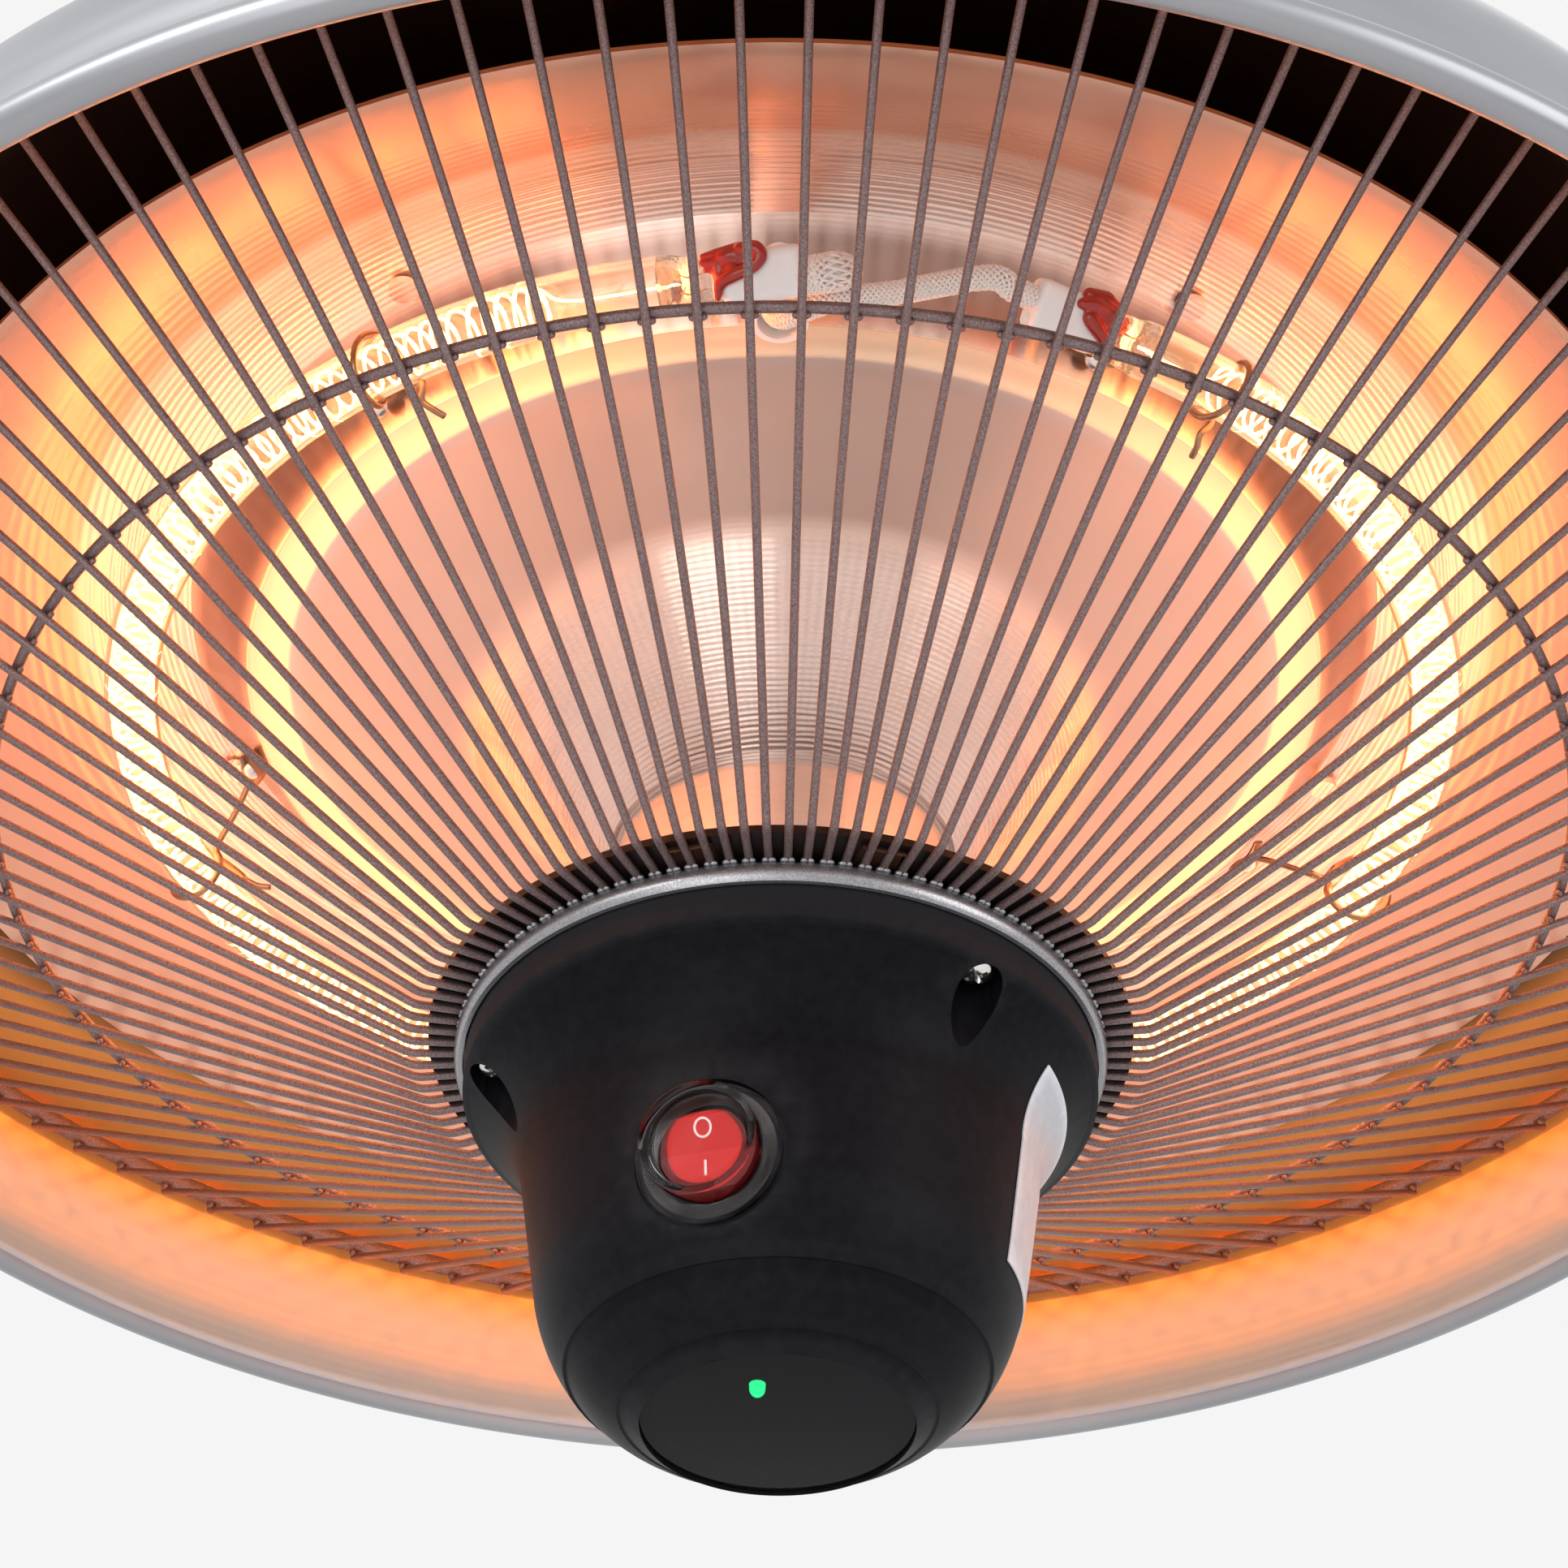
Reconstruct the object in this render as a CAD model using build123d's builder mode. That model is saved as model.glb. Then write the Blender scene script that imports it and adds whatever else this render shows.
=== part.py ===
from build123d import *
import math
import os

os.makedirs("parts", exist_ok=True)

# Ceiling infrared heater that hangs from one eye, in millimetres, +Z up.
# The origin is the centre of the eye's bore, and the axis of the heater is Z.
# Every size named "..._height" counts up from the plane of the guard wires'
# inner ends, and level() turns such a height into Z.
# Azimuths are degrees about Z from +X. The front of the heater is at -90.

front = -90.0

# Shade: spun sheet with a rolled bead, an upright skirt, a round shoulder
# and a sloping roof that ends in a flat
shade_diameter = 425.0
shade_wall = 1.2
bead_radius = 3.3
bead_height = 45.0
skirt_inset = 5.1
shoulder_height = 58.0
shoulder_radius = 38.0
roof_slope = 16.0
roof_flat_radius = 50.0

# Hanging column: one threaded tube carries everything
rod_radius = 5.0
rod_bore_radius = 3.5
rod_clearance = 0.3
thread_clearance = 0.05
rod_tail_height = -12.0
column_washer_radius = 16.0
column_washer_thickness = 2.0
column_nut_across_flats = 17.0
column_nut_thickness = 7.0
spacer_radius = 8.0

# Top cap and hanging eye
cap_radius = 44.0
cap_depth = 24.0
cap_wall = 1.5
cap_rounding = 7.0
eye_bore_radius = 8.0
eye_web = 5.0
eye_thickness = 7.0
eye_boss_radius = 9.5
eye_boss_length = 14.0
rod_in_eye = 10.0
eye_edge = 1.0

# Cable gland in the wall of the cap, at the back
gland_azimuth = 90.0
gland_thread_radius = 6.0
gland_flange_radius = 9.0
gland_flange_thickness = 3.0
gland_neck_length = 7.0
gland_nut_length = 9.0
gland_bore_radius = 4.6
cable_bore_radius = 3.6
gland_fit = 0.1
gland_rounding = 0.8
gland_nut_inset = 0.5

# Mains terminal block inside the cap
block_length = 34.0
block_width = 12.0
block_depth = 12.0
block_offset = 24.0
block_poles = 3
block_screw_radius = 1.9
block_outlet_height = 7.5
block_screw_sink = 1.5

# Cable from the terminal block, through a slot in the tube, down to the board
cable_radius = 1.6
slot_centre_height = 15.5
slot_length = 7.0
slot_width = 4.2
cable_level_run = 4.5
cable_turn_reach = 7.0

# Guard: radial wires welded to three rings
guard_wire_count = 110
guard_sectors = 10
guard_phase = -3.0
guard_wire_radius = 0.75
guard_inner_end = 54.6
guard_bend_place = 64.0
guard_bend = 5.0
guard_outer_end = 200.6
guard_slope = 27.5
weld_gap = 0.1
middle_ring_radius = 140.2
middle_ring_wire = 1.0
outer_ring_radius = 199.6
outer_ring_wire = 1.9
inner_ring_outer = 56.4
inner_ring_inner = 45.0
inner_ring_sheet = 1.6
inner_ring_depth = 3.9
inner_ring_rounding = 1.0
inner_ring_lip = 0.8

# Mounting disc that the guard and the housing are screwed to
disc_radius = 61.0
disc_thickness = 1.5
disc_gap = 0.25

# Reflector: spun aluminium, one outline from the rim to the middle
reflector_sheet = 1.0
rim_radius = 165.5
rim_height = 73.7
rim_land = 2.7
crease_radius = 130.0
crease_height = 92.0
trough_radius = 110.0
trough_height = 94.0
trough_crown = 1.6
crest_outer_radius = 98.3
crest_inner_radius = 91.0
crest_height = 79.2
crest_bulge = 0.6
cone_radius = 58.0
cone_height = 70.5
cone_bulge = 1.2
horn_radius = 47.0
horn_height = 57.6
throat_radius = 31.0
throat_height = 42.0

# Neck that carries the reflector on the disc
neck_radius = 29.5
neck_wall = 1.2
neck_plate = 1.5
clamp_radius = 26.0
clamp_thickness = 2.0

# Ring-shaped quartz lamp: azimuths of its ends and of what sits on them
lamp_ring_radius = 118.5
lamp_height = 69.5
tube_radius = 5.0
tube_wall = 0.8
lamp_start = front + 29.8
lamp_end = front - 10.6 + 360.0
pinch_length = 7.0
pinch_width = 9.2
pinch_thickness = 3.2
boot_length = 3.6
boot_width = 9.6
boot_thickness = 7.0
boot_edge = 0.8
ceramic_length = 12.5
ceramic_width = 8.8
ceramic_thickness = 6.2
ceramic_edge = 1.8
end_gap = 0.15

# Filament: a coil wound round the middle line of the lamp tube
filament_curls = 96
filament_radius = 3.3
filament_wire = 0.5
filament_end_gap = 1.0

# Sleeved leads through a ceramic bush in the reflector
lead_radius = 1.7
lead_spread = 1.85
bush_radius = 4.8
bush_wall = 1.0
bush_azimuth = front - 1.3
bush_place_radius = 102.0
bush_low_height = 76.0
bush_high_height = 99.0
bush_clearance = 0.15
connector_length = 18.0
connector_width = 12.0
connector_depth = 9.0

# Wire clips that hold the lamp tube under the reflector
clip_azimuths = (front - 111.0, front - 36.0, front + 37.0, front + 111.0)
clip_wire = 0.6
clip_gap = 0.3
rivet_radius = 2.6
rivet_thickness = 1.4

# Housing: moulded shell, outline from the rim down to the window
housing_wall = 2.4
housing_rim_radius = 54.5
housing_rim_height = -10.3
housing_step = 1.2
flare_mid_radius = 46.6
flare_mid_height = -18.6
flare_end_radius = 43.6
flare_end_height = -29.0
waist_radius = 41.0
waist_height = -48.0
bowl_mid_radius = 38.9
bowl_mid_height = -57.0
bowl_radius = 35.4
bowl_height = -63.8
groove_step = 0.5
chin_mid_radius = 31.4
chin_mid_height = -67.9
chin_radius = 26.4
chin_height = -71.4
window_seat_radius = 22.6
window_height = -74.0
window_radius = 22.45
window_thickness = 2.0
window_crown = 0.7
window_ledge = 2.0
bowl_wall_share = 0.7

# A cut or a post this long always goes right through the housing
through_housing = 40.0

# Housing screws in long pockets
screw_azimuths = (front + 40.0, front + 160.0, front + 280.0)
screw_place_radius = 49.3
screw_boss_radius = 5.6
screw_pocket_radius = 4.3
screw_floor_height = -8.3
screw_shank_radius = 1.75
screw_head_radius = 3.6
screw_head_height = 2.3
screw_slot = 0.9
screw_hole_clearance = 0.25
screw_spacer_wall = 2.0
screw_slot_share = 1.3

# Rocker switch, on an axis that leans a little downwards
switch_azimuth = front - 17.0
switch_tilt = 9.0
switch_height = -46.5
switch_seat_reach = 38.9
switch_recess_radius = 12.8
switch_boss_radius = 14.8
switch_boss_depth = 2.2
switch_barrel_radius = 9.8
switch_barrel_clearance = 0.2
switch_bezel_radius = 11.2
switch_bezel_thickness = 1.5
switch_well_radius = 8.6
switch_depth = 19.0
switch_floor = 2.0
hinge_depth = 1.5
rocker_radius = 7.6
rocker_sweep_radius = 8.3
rocker_face = 3.4
rocker_angle = 8.0
rocker_skirt = 4.2
rocker_pin_radius = 1.0
rocker_pin_reach = 9.2
rocker_pin_clearance = 0.06
rocker_post_radius = 2.1
rocker_skin = 1.4
rocker_roof = 0.6
plunger_radius = 1.2
plunger_reach = 7.0
plunger_clearance = 0.15
plunger_top_gap = 0.3
lever_gap = 0.3
lever_angle = 5.0
lever_half_length = 6.0
lever_width = 5.0
lever_thickness = 0.8
fulcrum_gap = 0.25
terminal_width = 4.8
terminal_thickness = 0.8
terminal_reach = 8.0
terminal_spacing = 5.6
switch_wire_radius = 0.6
switch_wire_reach = 6.0
switch_wire_step = 3.0

# Clear splash cap over the switch
splash_radius = 9.6
splash_wall = 0.9
splash_top_height = 9.0
splash_flange_radius = 12.3
splash_skirt_clearance = 0.2
splash_flange_thickness = 1.1
splash_rounding = 1.2

# Blank label on the right side of the housing
label_start = front + 66.0
label_arc = 46.0
label_thickness = 0.25
label_gap = 0.06
label_top_height = -15.5
label_bottom_height = -52.0

# Control board and what it carries
board_radius = 32.0
board_thickness = 1.6
board_height = -60.4
post_radius = 3.2
post_place_radius = 27.0
post_azimuths = (30.0, 150.0, 270.0)
board_screw_radius = 1.4
board_screw_clearance = 0.2
board_screw_head_radius = 2.6
board_screw_head_height = 1.6
board_screw_grip = 4.0
board_screw_room = 0.5
board_part_rounding = 0.8
receiver_rounding = 1.0
part_gap = 0.1
led_radius = 2.5
led_length = 7.0
led_place = (-2.0, -6.0)
receiver_size = (8.0, 6.0, 5.0)
receiver_place = (6.0, -12.0)
relay_size = (19.0, 15.5, 15.0)
relay_place = (10.0, 11.0)
transformer_size = (16.0, 17.0, 13.0)
transformer_place = (-10.5, 9.0)
capacitor_radius = 4.0
capacitor_length = 12.0
capacitor_places = ((1.0, 25.0), (-15.0, -8.0))


# Derived heights of the column
skirt_radius = shade_diameter / 2 - skirt_inset
shoulder_centre = skirt_radius - shoulder_radius
shoulder_end = math.radians(90.0 - roof_slope)
roof_tangent = math.tan(math.radians(roof_slope))
roof_start_radius = shoulder_centre + shoulder_radius * math.cos(shoulder_end)
roof_start_height = shoulder_height + shoulder_radius * math.sin(shoulder_end)
roof_height = roof_start_height + (roof_start_radius - roof_flat_radius) * roof_tangent
cap_top_height = roof_height + cap_depth
eye_height = cap_top_height + eye_boss_length + eye_bore_radius + eye_web
disc_low_height = guard_wire_radius + disc_gap
disc_high_height = disc_low_height + disc_thickness
inner_ring_top = -guard_wire_radius - weld_gap
inner_ring_under = inner_ring_top - inner_ring_sheet
clamp_low_height = throat_height + reflector_sheet
clamp_high_height = clamp_low_height + clamp_thickness
lower_washer_height = roof_height - shade_wall - column_washer_thickness
rod_hole = rod_radius + rod_clearance


def level(height):
    return height - eye_height


def radial_plane(azimuth):
    """Upright half plane through the axis: x runs outwards and y runs up."""
    turn = math.radians(azimuth)
    outwards = (math.cos(turn), math.sin(turn), 0)
    return Plane(origin=(0, 0, 0), x_dir=outwards, z_dir=(math.sin(turn), -math.cos(turn), 0))


def place_at(radius, azimuth, height):
    turn = math.radians(azimuth)
    return Vector(radius * math.cos(turn), radius * math.sin(turn), level(height))


def arc_degrees(length, radius):
    return math.degrees(length / radius)


# Shade
def shade_points(inset):
    """Key points of the shade's outline, moved inwards by inset."""
    radius = shoulder_radius - inset
    start = (shoulder_centre + radius, level(shoulder_height))
    middle_turn = shoulder_end / 2
    middle = (
        shoulder_centre + radius * math.cos(middle_turn),
        level(shoulder_height) + radius * math.sin(middle_turn),
    )
    end = (
        shoulder_centre + radius * math.cos(shoulder_end),
        level(shoulder_height) + radius * math.sin(shoulder_end),
    )
    top = level(roof_height) - inset
    flat = (end[0] - (top - end[1]) / roof_tangent, top)
    return start, middle, end, flat


with BuildPart() as shade:
    with BuildSketch(Plane.XZ):
        with BuildLine():
            outer_start, outer_middle, outer_end, outer_flat = shade_points(0)
            inner_start, inner_middle, inner_end, inner_flat = shade_points(shade_wall)
            Line((rod_hole, outer_flat[1]), outer_flat)
            Line(outer_flat, outer_end)
            ThreePointArc(outer_end, outer_middle, outer_start)
            Line(outer_start, (outer_start[0], level(bead_height)))
            Line((outer_start[0], level(bead_height)), (inner_start[0], level(bead_height)))
            Line((inner_start[0], level(bead_height)), inner_start)
            ThreePointArc(inner_start, inner_middle, inner_end)
            Line(inner_end, inner_flat)
            Line(inner_flat, (rod_hole, inner_flat[1]))
            Line((rod_hole, inner_flat[1]), (rod_hole, outer_flat[1]))
        make_face()
        with Locations((shade_diameter / 2 - bead_radius, level(bead_height))):
            Circle(bead_radius)
    revolve(axis=Axis.Z)
shade.part.label = "shade"
export_step(shade.part, "parts/shade.step")

# Top cap: a cup turned over the flat of the roof
gland_level = level(roof_height) + cap_depth / 2
with BuildPart() as top_cap:
    with BuildSketch(Plane.XZ) as cap_outline:
        with Locations((0, level(roof_height))):
            Rectangle(cap_radius, cap_depth, align=(Align.MIN, Align.MIN))
        fillet(cap_outline.vertices().sort_by(Axis.X)[-2:].sort_by(Axis.Y)[-1], cap_rounding)
        with BuildSketch(Plane.XZ, mode=Mode.PRIVATE) as cap_hollow:
            with Locations((0, level(roof_height))):
                Rectangle(cap_radius - cap_wall, cap_depth - cap_wall, align=(Align.MIN, Align.MIN))
            fillet(cap_hollow.vertices().sort_by(Axis.X)[-2:].sort_by(Axis.Y)[-1], cap_rounding - cap_wall)
        add(cap_hollow.sketch, mode=Mode.SUBTRACT)
        with Locations((0, level(cap_top_height))):
            Rectangle(2 * rod_hole, 4 * cap_wall, mode=Mode.SUBTRACT)
    revolve(axis=Axis.Z)
    gland_plane = Plane(
        origin=(
            cap_radius * math.cos(math.radians(gland_azimuth)),
            cap_radius * math.sin(math.radians(gland_azimuth)),
            gland_level,
        ),
        x_dir=(math.sin(math.radians(gland_azimuth)), -math.cos(math.radians(gland_azimuth)), 0),
        z_dir=(math.cos(math.radians(gland_azimuth)), math.sin(math.radians(gland_azimuth)), 0),
    )
    with BuildSketch(gland_plane):
        Circle(gland_thread_radius + gland_fit)
    extrude(amount=-2 * gland_flange_radius, mode=Mode.SUBTRACT)
top_cap.part.label = "top_cap"
export_step(top_cap.part, "parts/top_cap.step")

# Hanging eye on the end of the threaded tube
with BuildPart() as hanging_eye:
    with BuildSketch(Plane.XY.offset(level(cap_top_height))):
        Circle(eye_boss_radius)
    extrude(amount=eye_boss_length + eye_web / 2)
    with BuildSketch(Plane.XZ):
        Circle(eye_bore_radius + eye_web)
    extrude(amount=eye_thickness / 2, both=True)
    with BuildSketch(Plane.XZ):
        Circle(eye_bore_radius)
    extrude(amount=eye_boss_radius, both=True, mode=Mode.SUBTRACT)
    with BuildSketch(Plane.XY.offset(level(cap_top_height))):
        Circle(rod_radius + thread_clearance)
    extrude(amount=rod_in_eye + rod_clearance, mode=Mode.SUBTRACT)
    eye_rims = hanging_eye.edges().filter_by(GeomType.CIRCLE).filter_by(
        lambda edge: abs(edge.radius - eye_bore_radius - eye_web) < 0.01
    )
    chamfer(eye_rims, eye_edge)
hanging_eye.part.label = "hanging_eye"
export_step(hanging_eye.part, "parts/hanging_eye.step")

# Threaded tube through the whole column
with BuildPart() as support_rod:
    with BuildSketch(Plane.XY.offset(level(rod_tail_height))):
        Circle(rod_radius)
        Circle(rod_bore_radius, mode=Mode.SUBTRACT)
    extrude(amount=cap_top_height + rod_in_eye - rod_tail_height)
    with BuildSketch(Plane.XZ):
        with Locations((0, level(roof_height + slot_centre_height))):
            SlotOverall(slot_length, slot_width, rotation=90)
    extrude(amount=2 * rod_radius, mode=Mode.SUBTRACT)
support_rod.part.label = "support_rod"
export_step(support_rod.part, "parts/support_rod.step")


# Nuts and washers of the column, bottom upwards
def nut_levels():
    return (
        disc_low_height - column_nut_thickness,
        clamp_high_height,
        roof_height + column_washer_thickness,
    )


with BuildPart() as column_nuts:
    for nut_level in nut_levels():
        with BuildSketch(Plane.XY.offset(level(nut_level))):
            RegularPolygon(column_nut_across_flats / 2, 6, major_radius=False)
            Circle(rod_radius + thread_clearance, mode=Mode.SUBTRACT)
        extrude(amount=column_nut_thickness)
column_nuts.part.label = "column_nuts"
export_step(column_nuts.part, "parts/column_nuts.step")

with BuildPart() as column_washers:
    for washer_level in (lower_washer_height, roof_height):
        with BuildSketch(Plane.XY.offset(level(washer_level))):
            Circle(column_washer_radius)
            Circle(rod_hole, mode=Mode.SUBTRACT)
        extrude(amount=column_washer_thickness)
column_washers.part.label = "column_washers"
export_step(column_washers.part, "parts/column_washers.step")

# Spacer tube between the reflector and the shade
spacer_low_height = clamp_high_height + column_nut_thickness
with BuildPart() as spacer_tube:
    with BuildSketch(Plane.XY.offset(level(spacer_low_height))):
        Circle(spacer_radius)
        Circle(rod_hole, mode=Mode.SUBTRACT)
    extrude(amount=lower_washer_height - spacer_low_height)
spacer_tube.part.label = "spacer_tube"
export_step(spacer_tube.part, "parts/spacer_tube.step")

# Cable gland: body with flange, rubber seal and domed nut
with BuildPart() as gland_body:
    with BuildSketch(gland_plane):
        Circle(gland_flange_radius)
    extrude(amount=gland_flange_thickness)
    with BuildSketch(gland_plane.offset(-gland_neck_length)):
        Circle(gland_thread_radius)
    extrude(amount=2 * gland_neck_length + gland_flange_thickness)
    with BuildSketch(gland_plane.offset(-gland_neck_length)):
        Circle(gland_bore_radius)
    extrude(amount=2 * gland_neck_length + gland_flange_thickness, mode=Mode.SUBTRACT)
    flange_rim = gland_body.edges().filter_by(GeomType.CIRCLE).filter_by(
        lambda edge: abs(edge.radius - gland_flange_radius) < 0.01
    )
    fillet(flange_rim.sort_by(Axis(origin=(0, 0, 0), direction=gland_plane.z_dir))[-1], gland_rounding)
gland_body.part.label = "gland_body"
export_step(gland_body.part, "parts/gland_body.step")

with BuildPart() as gland_seal:
    with BuildSketch(gland_plane.offset(gland_flange_thickness)):
        Circle(gland_bore_radius - gland_fit)
        Circle(cable_bore_radius, mode=Mode.SUBTRACT)
    extrude(amount=gland_neck_length)
gland_seal.part.label = "gland_seal"
export_step(gland_seal.part, "parts/gland_seal.step")

with BuildPart() as gland_nut:
    with BuildSketch(gland_plane.offset(gland_flange_thickness + gland_fit)):
        RegularPolygon(gland_flange_radius - gland_nut_inset, 6, major_radius=False)
    extrude(amount=gland_nut_length)
    with BuildSketch(gland_plane.offset(gland_flange_thickness + gland_fit)):
        Circle(gland_thread_radius + thread_clearance)
    extrude(amount=gland_neck_length, mode=Mode.SUBTRACT)
    with BuildSketch(gland_plane.offset(gland_flange_thickness)):
        Circle(gland_bore_radius)
    extrude(amount=2 * gland_nut_length, mode=Mode.SUBTRACT)
gland_nut.part.label = "gland_nut"
export_step(gland_nut.part, "parts/gland_nut.step")

# Mains terminal block on the roof flat, inside the cap
block_pitch = block_length / block_poles
with BuildPart() as terminal_block:
    with BuildSketch(Plane.XY.offset(level(roof_height))):
        with Locations((0, -block_offset)):
            Rectangle(block_length, block_width)
    extrude(amount=block_depth)
    with BuildSketch(Plane.XY.offset(level(roof_height) + block_depth)):
        with Locations((0, -block_offset)):
            with GridLocations(block_pitch, 0, block_poles, 1):
                Circle(block_screw_radius + part_gap)
    extrude(amount=-block_depth / 2, mode=Mode.SUBTRACT)
terminal_block.part.label = "terminal_block"
export_step(terminal_block.part, "parts/terminal_block.step")

with BuildPart() as terminal_screws:
    with BuildSketch(Plane.XY.offset(level(roof_height) + block_depth / 2)):
        with Locations((0, -block_offset)):
            with GridLocations(block_pitch, 0, block_poles, 1):
                Circle(block_screw_radius)
    extrude(amount=block_depth / 2 - block_screw_sink)
terminal_screws.part.label = "terminal_screws"
export_step(terminal_screws.part, "parts/terminal_screws.step")


# Reflector
def reflector_line(lift):
    """The reflector's outline from the rim to the hole, raised by lift."""
    rim = (rim_radius, level(rim_height) + lift)
    land = (rim_radius - rim_land, level(rim_height) + lift)
    crease = (crease_radius, level(crease_height) + lift)
    trough = (trough_radius, level(trough_height) + lift)
    crest_out = (crest_outer_radius, level(crest_height) + lift)
    crest_in = (crest_inner_radius, level(crest_height) + lift)
    cone = (cone_radius, level(cone_height) + lift)
    horn = (horn_radius, level(horn_height) + lift)
    throat = (throat_radius, level(throat_height) + lift)
    trough_mid = (
        (crease_radius + trough_radius) / 2,
        level((crease_height + trough_height) / 2 + trough_crown) + lift,
    )
    crest_mid = ((crest_outer_radius + crest_inner_radius) / 2, level(crest_height + crest_bulge) + lift)
    cone_mid = (
        (crest_inner_radius + cone_radius) / 2,
        level((crest_height + cone_height) / 2 + cone_bulge) + lift,
    )
    Line(rim, land)
    Line(land, crease)
    ThreePointArc(crease, trough_mid, trough)
    Line(trough, crest_out)
    ThreePointArc(crest_out, crest_mid, crest_in)
    ThreePointArc(crest_in, cone_mid, cone)
    ThreePointArc(cone, horn, throat)
    return rim, Line(throat, (rod_hole, throat[1])) @ 1


with BuildPart() as reflector:
    with BuildSketch(Plane.XZ):
        with BuildLine():
            low_rim, low_hole = reflector_line(0)
            high_rim, high_hole = reflector_line(reflector_sheet)
            Line(low_rim, high_rim)
            Line(low_hole, high_hole)
        make_face()
    revolve(axis=Axis.Z)
    with BuildSketch(Plane(origin=place_at(bush_place_radius, bush_azimuth, bush_low_height))):
        Circle(bush_radius + bush_clearance)
    extrude(amount=bush_high_height - bush_low_height, mode=Mode.SUBTRACT)
reflector.part.label = "reflector"
export_step(reflector.part, "parts/reflector.step")

# Neck between the disc and the reflector
with BuildPart() as reflector_neck:
    with BuildSketch(Plane.XY.offset(level(disc_high_height))):
        Circle(neck_radius)
    extrude(amount=throat_height - disc_high_height)
    with BuildSketch(Plane.XY.offset(level(disc_high_height))):
        Circle(neck_radius - neck_wall)
    extrude(amount=throat_height - neck_plate - disc_high_height, mode=Mode.SUBTRACT)
    with BuildSketch(Plane.XY.offset(level(disc_high_height))):
        Circle(rod_hole)
    extrude(amount=throat_height - disc_high_height, mode=Mode.SUBTRACT)
reflector_neck.part.label = "reflector_neck"
export_step(reflector_neck.part, "parts/reflector_neck.step")

with BuildPart() as reflector_clamp:
    with BuildSketch(Plane.XY.offset(level(clamp_low_height))):
        Circle(clamp_radius)
        Circle(rod_hole, mode=Mode.SUBTRACT)
    extrude(amount=clamp_thickness)
reflector_clamp.part.label = "reflector_clamp"
export_step(reflector_clamp.part, "parts/reflector_clamp.step")


def screw_places(height):
    return [place_at(screw_place_radius, azimuth, height) for azimuth in screw_azimuths]


# Mounting disc
with BuildPart() as mounting_disc:
    with BuildSketch(Plane.XY.offset(level(disc_low_height))):
        Circle(disc_radius)
        Circle(rod_hole, mode=Mode.SUBTRACT)
        with Locations([(spot.X, spot.Y) for spot in screw_places(0)]):
            Circle(screw_shank_radius + thread_clearance, mode=Mode.SUBTRACT)
    extrude(amount=disc_thickness)
mounting_disc.part.label = "mounting_disc"
export_step(mounting_disc.part, "parts/mounting_disc.step")

# Spacers that keep the clamped wires free of the screws' pull
with BuildPart() as screw_spacers:
    with BuildSketch(Plane.XY.offset(level(inner_ring_top))):
        with Locations([(spot.X, spot.Y) for spot in screw_places(0)]):
            Circle(screw_shank_radius + screw_spacer_wall)
            Circle(screw_shank_radius + screw_hole_clearance, mode=Mode.SUBTRACT)
    extrude(amount=disc_low_height - inner_ring_top)
screw_spacers.part.label = "screw_spacers"
export_step(screw_spacers.part, "parts/screw_spacers.step")

# Guard: pressed inner ring that the wires stand on
with BuildPart() as guard_inner_ring:
    with BuildSketch(Plane.XZ):
        with BuildLine():
            ring_top = level(inner_ring_top)
            ring_under = level(inner_ring_under)
            ring_foot = ring_top - inner_ring_depth
            ring_back = inner_ring_outer - inner_ring_sheet
            ring_shoulder = (inner_ring_outer - inner_ring_rounding, ring_top)
            ring_middle = (inner_ring_outer, ring_top - inner_ring_depth / 2)
            ring_lip = (inner_ring_outer - inner_ring_lip, ring_foot)
            Line((inner_ring_inner, ring_top), ring_shoulder)
            ThreePointArc(ring_shoulder, ring_middle, ring_lip)
            Line(ring_lip, (ring_back, ring_foot))
            Line((ring_back, ring_foot), (ring_back, ring_under))
            Line((ring_back, ring_under), (inner_ring_inner, ring_under))
            Line((inner_ring_inner, ring_under), (inner_ring_inner, ring_top))
        make_face()
    revolve(axis=Axis.Z)
    with BuildSketch(Plane.XY.offset(level(inner_ring_under))):
        with Locations([(spot.X, spot.Y) for spot in screw_places(0)]):
            Circle(screw_shank_radius + screw_hole_clearance)
    extrude(amount=inner_ring_sheet, mode=Mode.SUBTRACT)
guard_inner_ring.part.label = "guard_inner_ring"
export_step(guard_inner_ring.part, "parts/guard_inner_ring.step")

# Guard: one radial wire, level on the inner ring and then rising
wire_tangent = math.tan(math.radians(guard_slope))
wire_plane = radial_plane(0)
with BuildPart(mode=Mode.PRIVATE) as guard_wire:
    with BuildLine(wire_plane) as wire_path:
        FilletPolyline(
            (guard_inner_end, level(0)),
            (guard_bend_place, level(0)),
            (guard_outer_end, level((guard_outer_end - guard_bend_place) * wire_tangent)),
            radius=guard_bend,
        )
    with BuildSketch(Plane(origin=wire_path.line @ 0, z_dir=wire_path.line % 0)):
        Circle(guard_wire_radius)
    sweep(path=wire_path.line)

wires_per_sector = guard_wire_count // guard_sectors
wire_step = 360.0 / guard_wire_count
for sector in range(guard_sectors):
    first_azimuth = front + guard_phase + sector * wires_per_sector * wire_step
    last_azimuth = first_azimuth + (wires_per_sector - 1) * wire_step
    with BuildPart() as guard_wires:
        with PolarLocations(0, wires_per_sector, first_azimuth, last_azimuth - first_azimuth, endpoint=True):
            add(guard_wire.part)
    guard_wires.part.label = f"guard_wires_{sector + 1}"
    export_step(guard_wires.part, f"parts/guard_wires_{sector + 1}.step")


# Guard: middle and outer rings on the upper side of the wires
def ring_height(radius, wire_radius):
    """Height of a ring of round wire that lies on the rising stretch of the radial wires."""
    lift = (guard_wire_radius + weld_gap + wire_radius) / math.cos(math.radians(guard_slope))
    return (radius - guard_bend_place) * wire_tangent + lift


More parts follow.
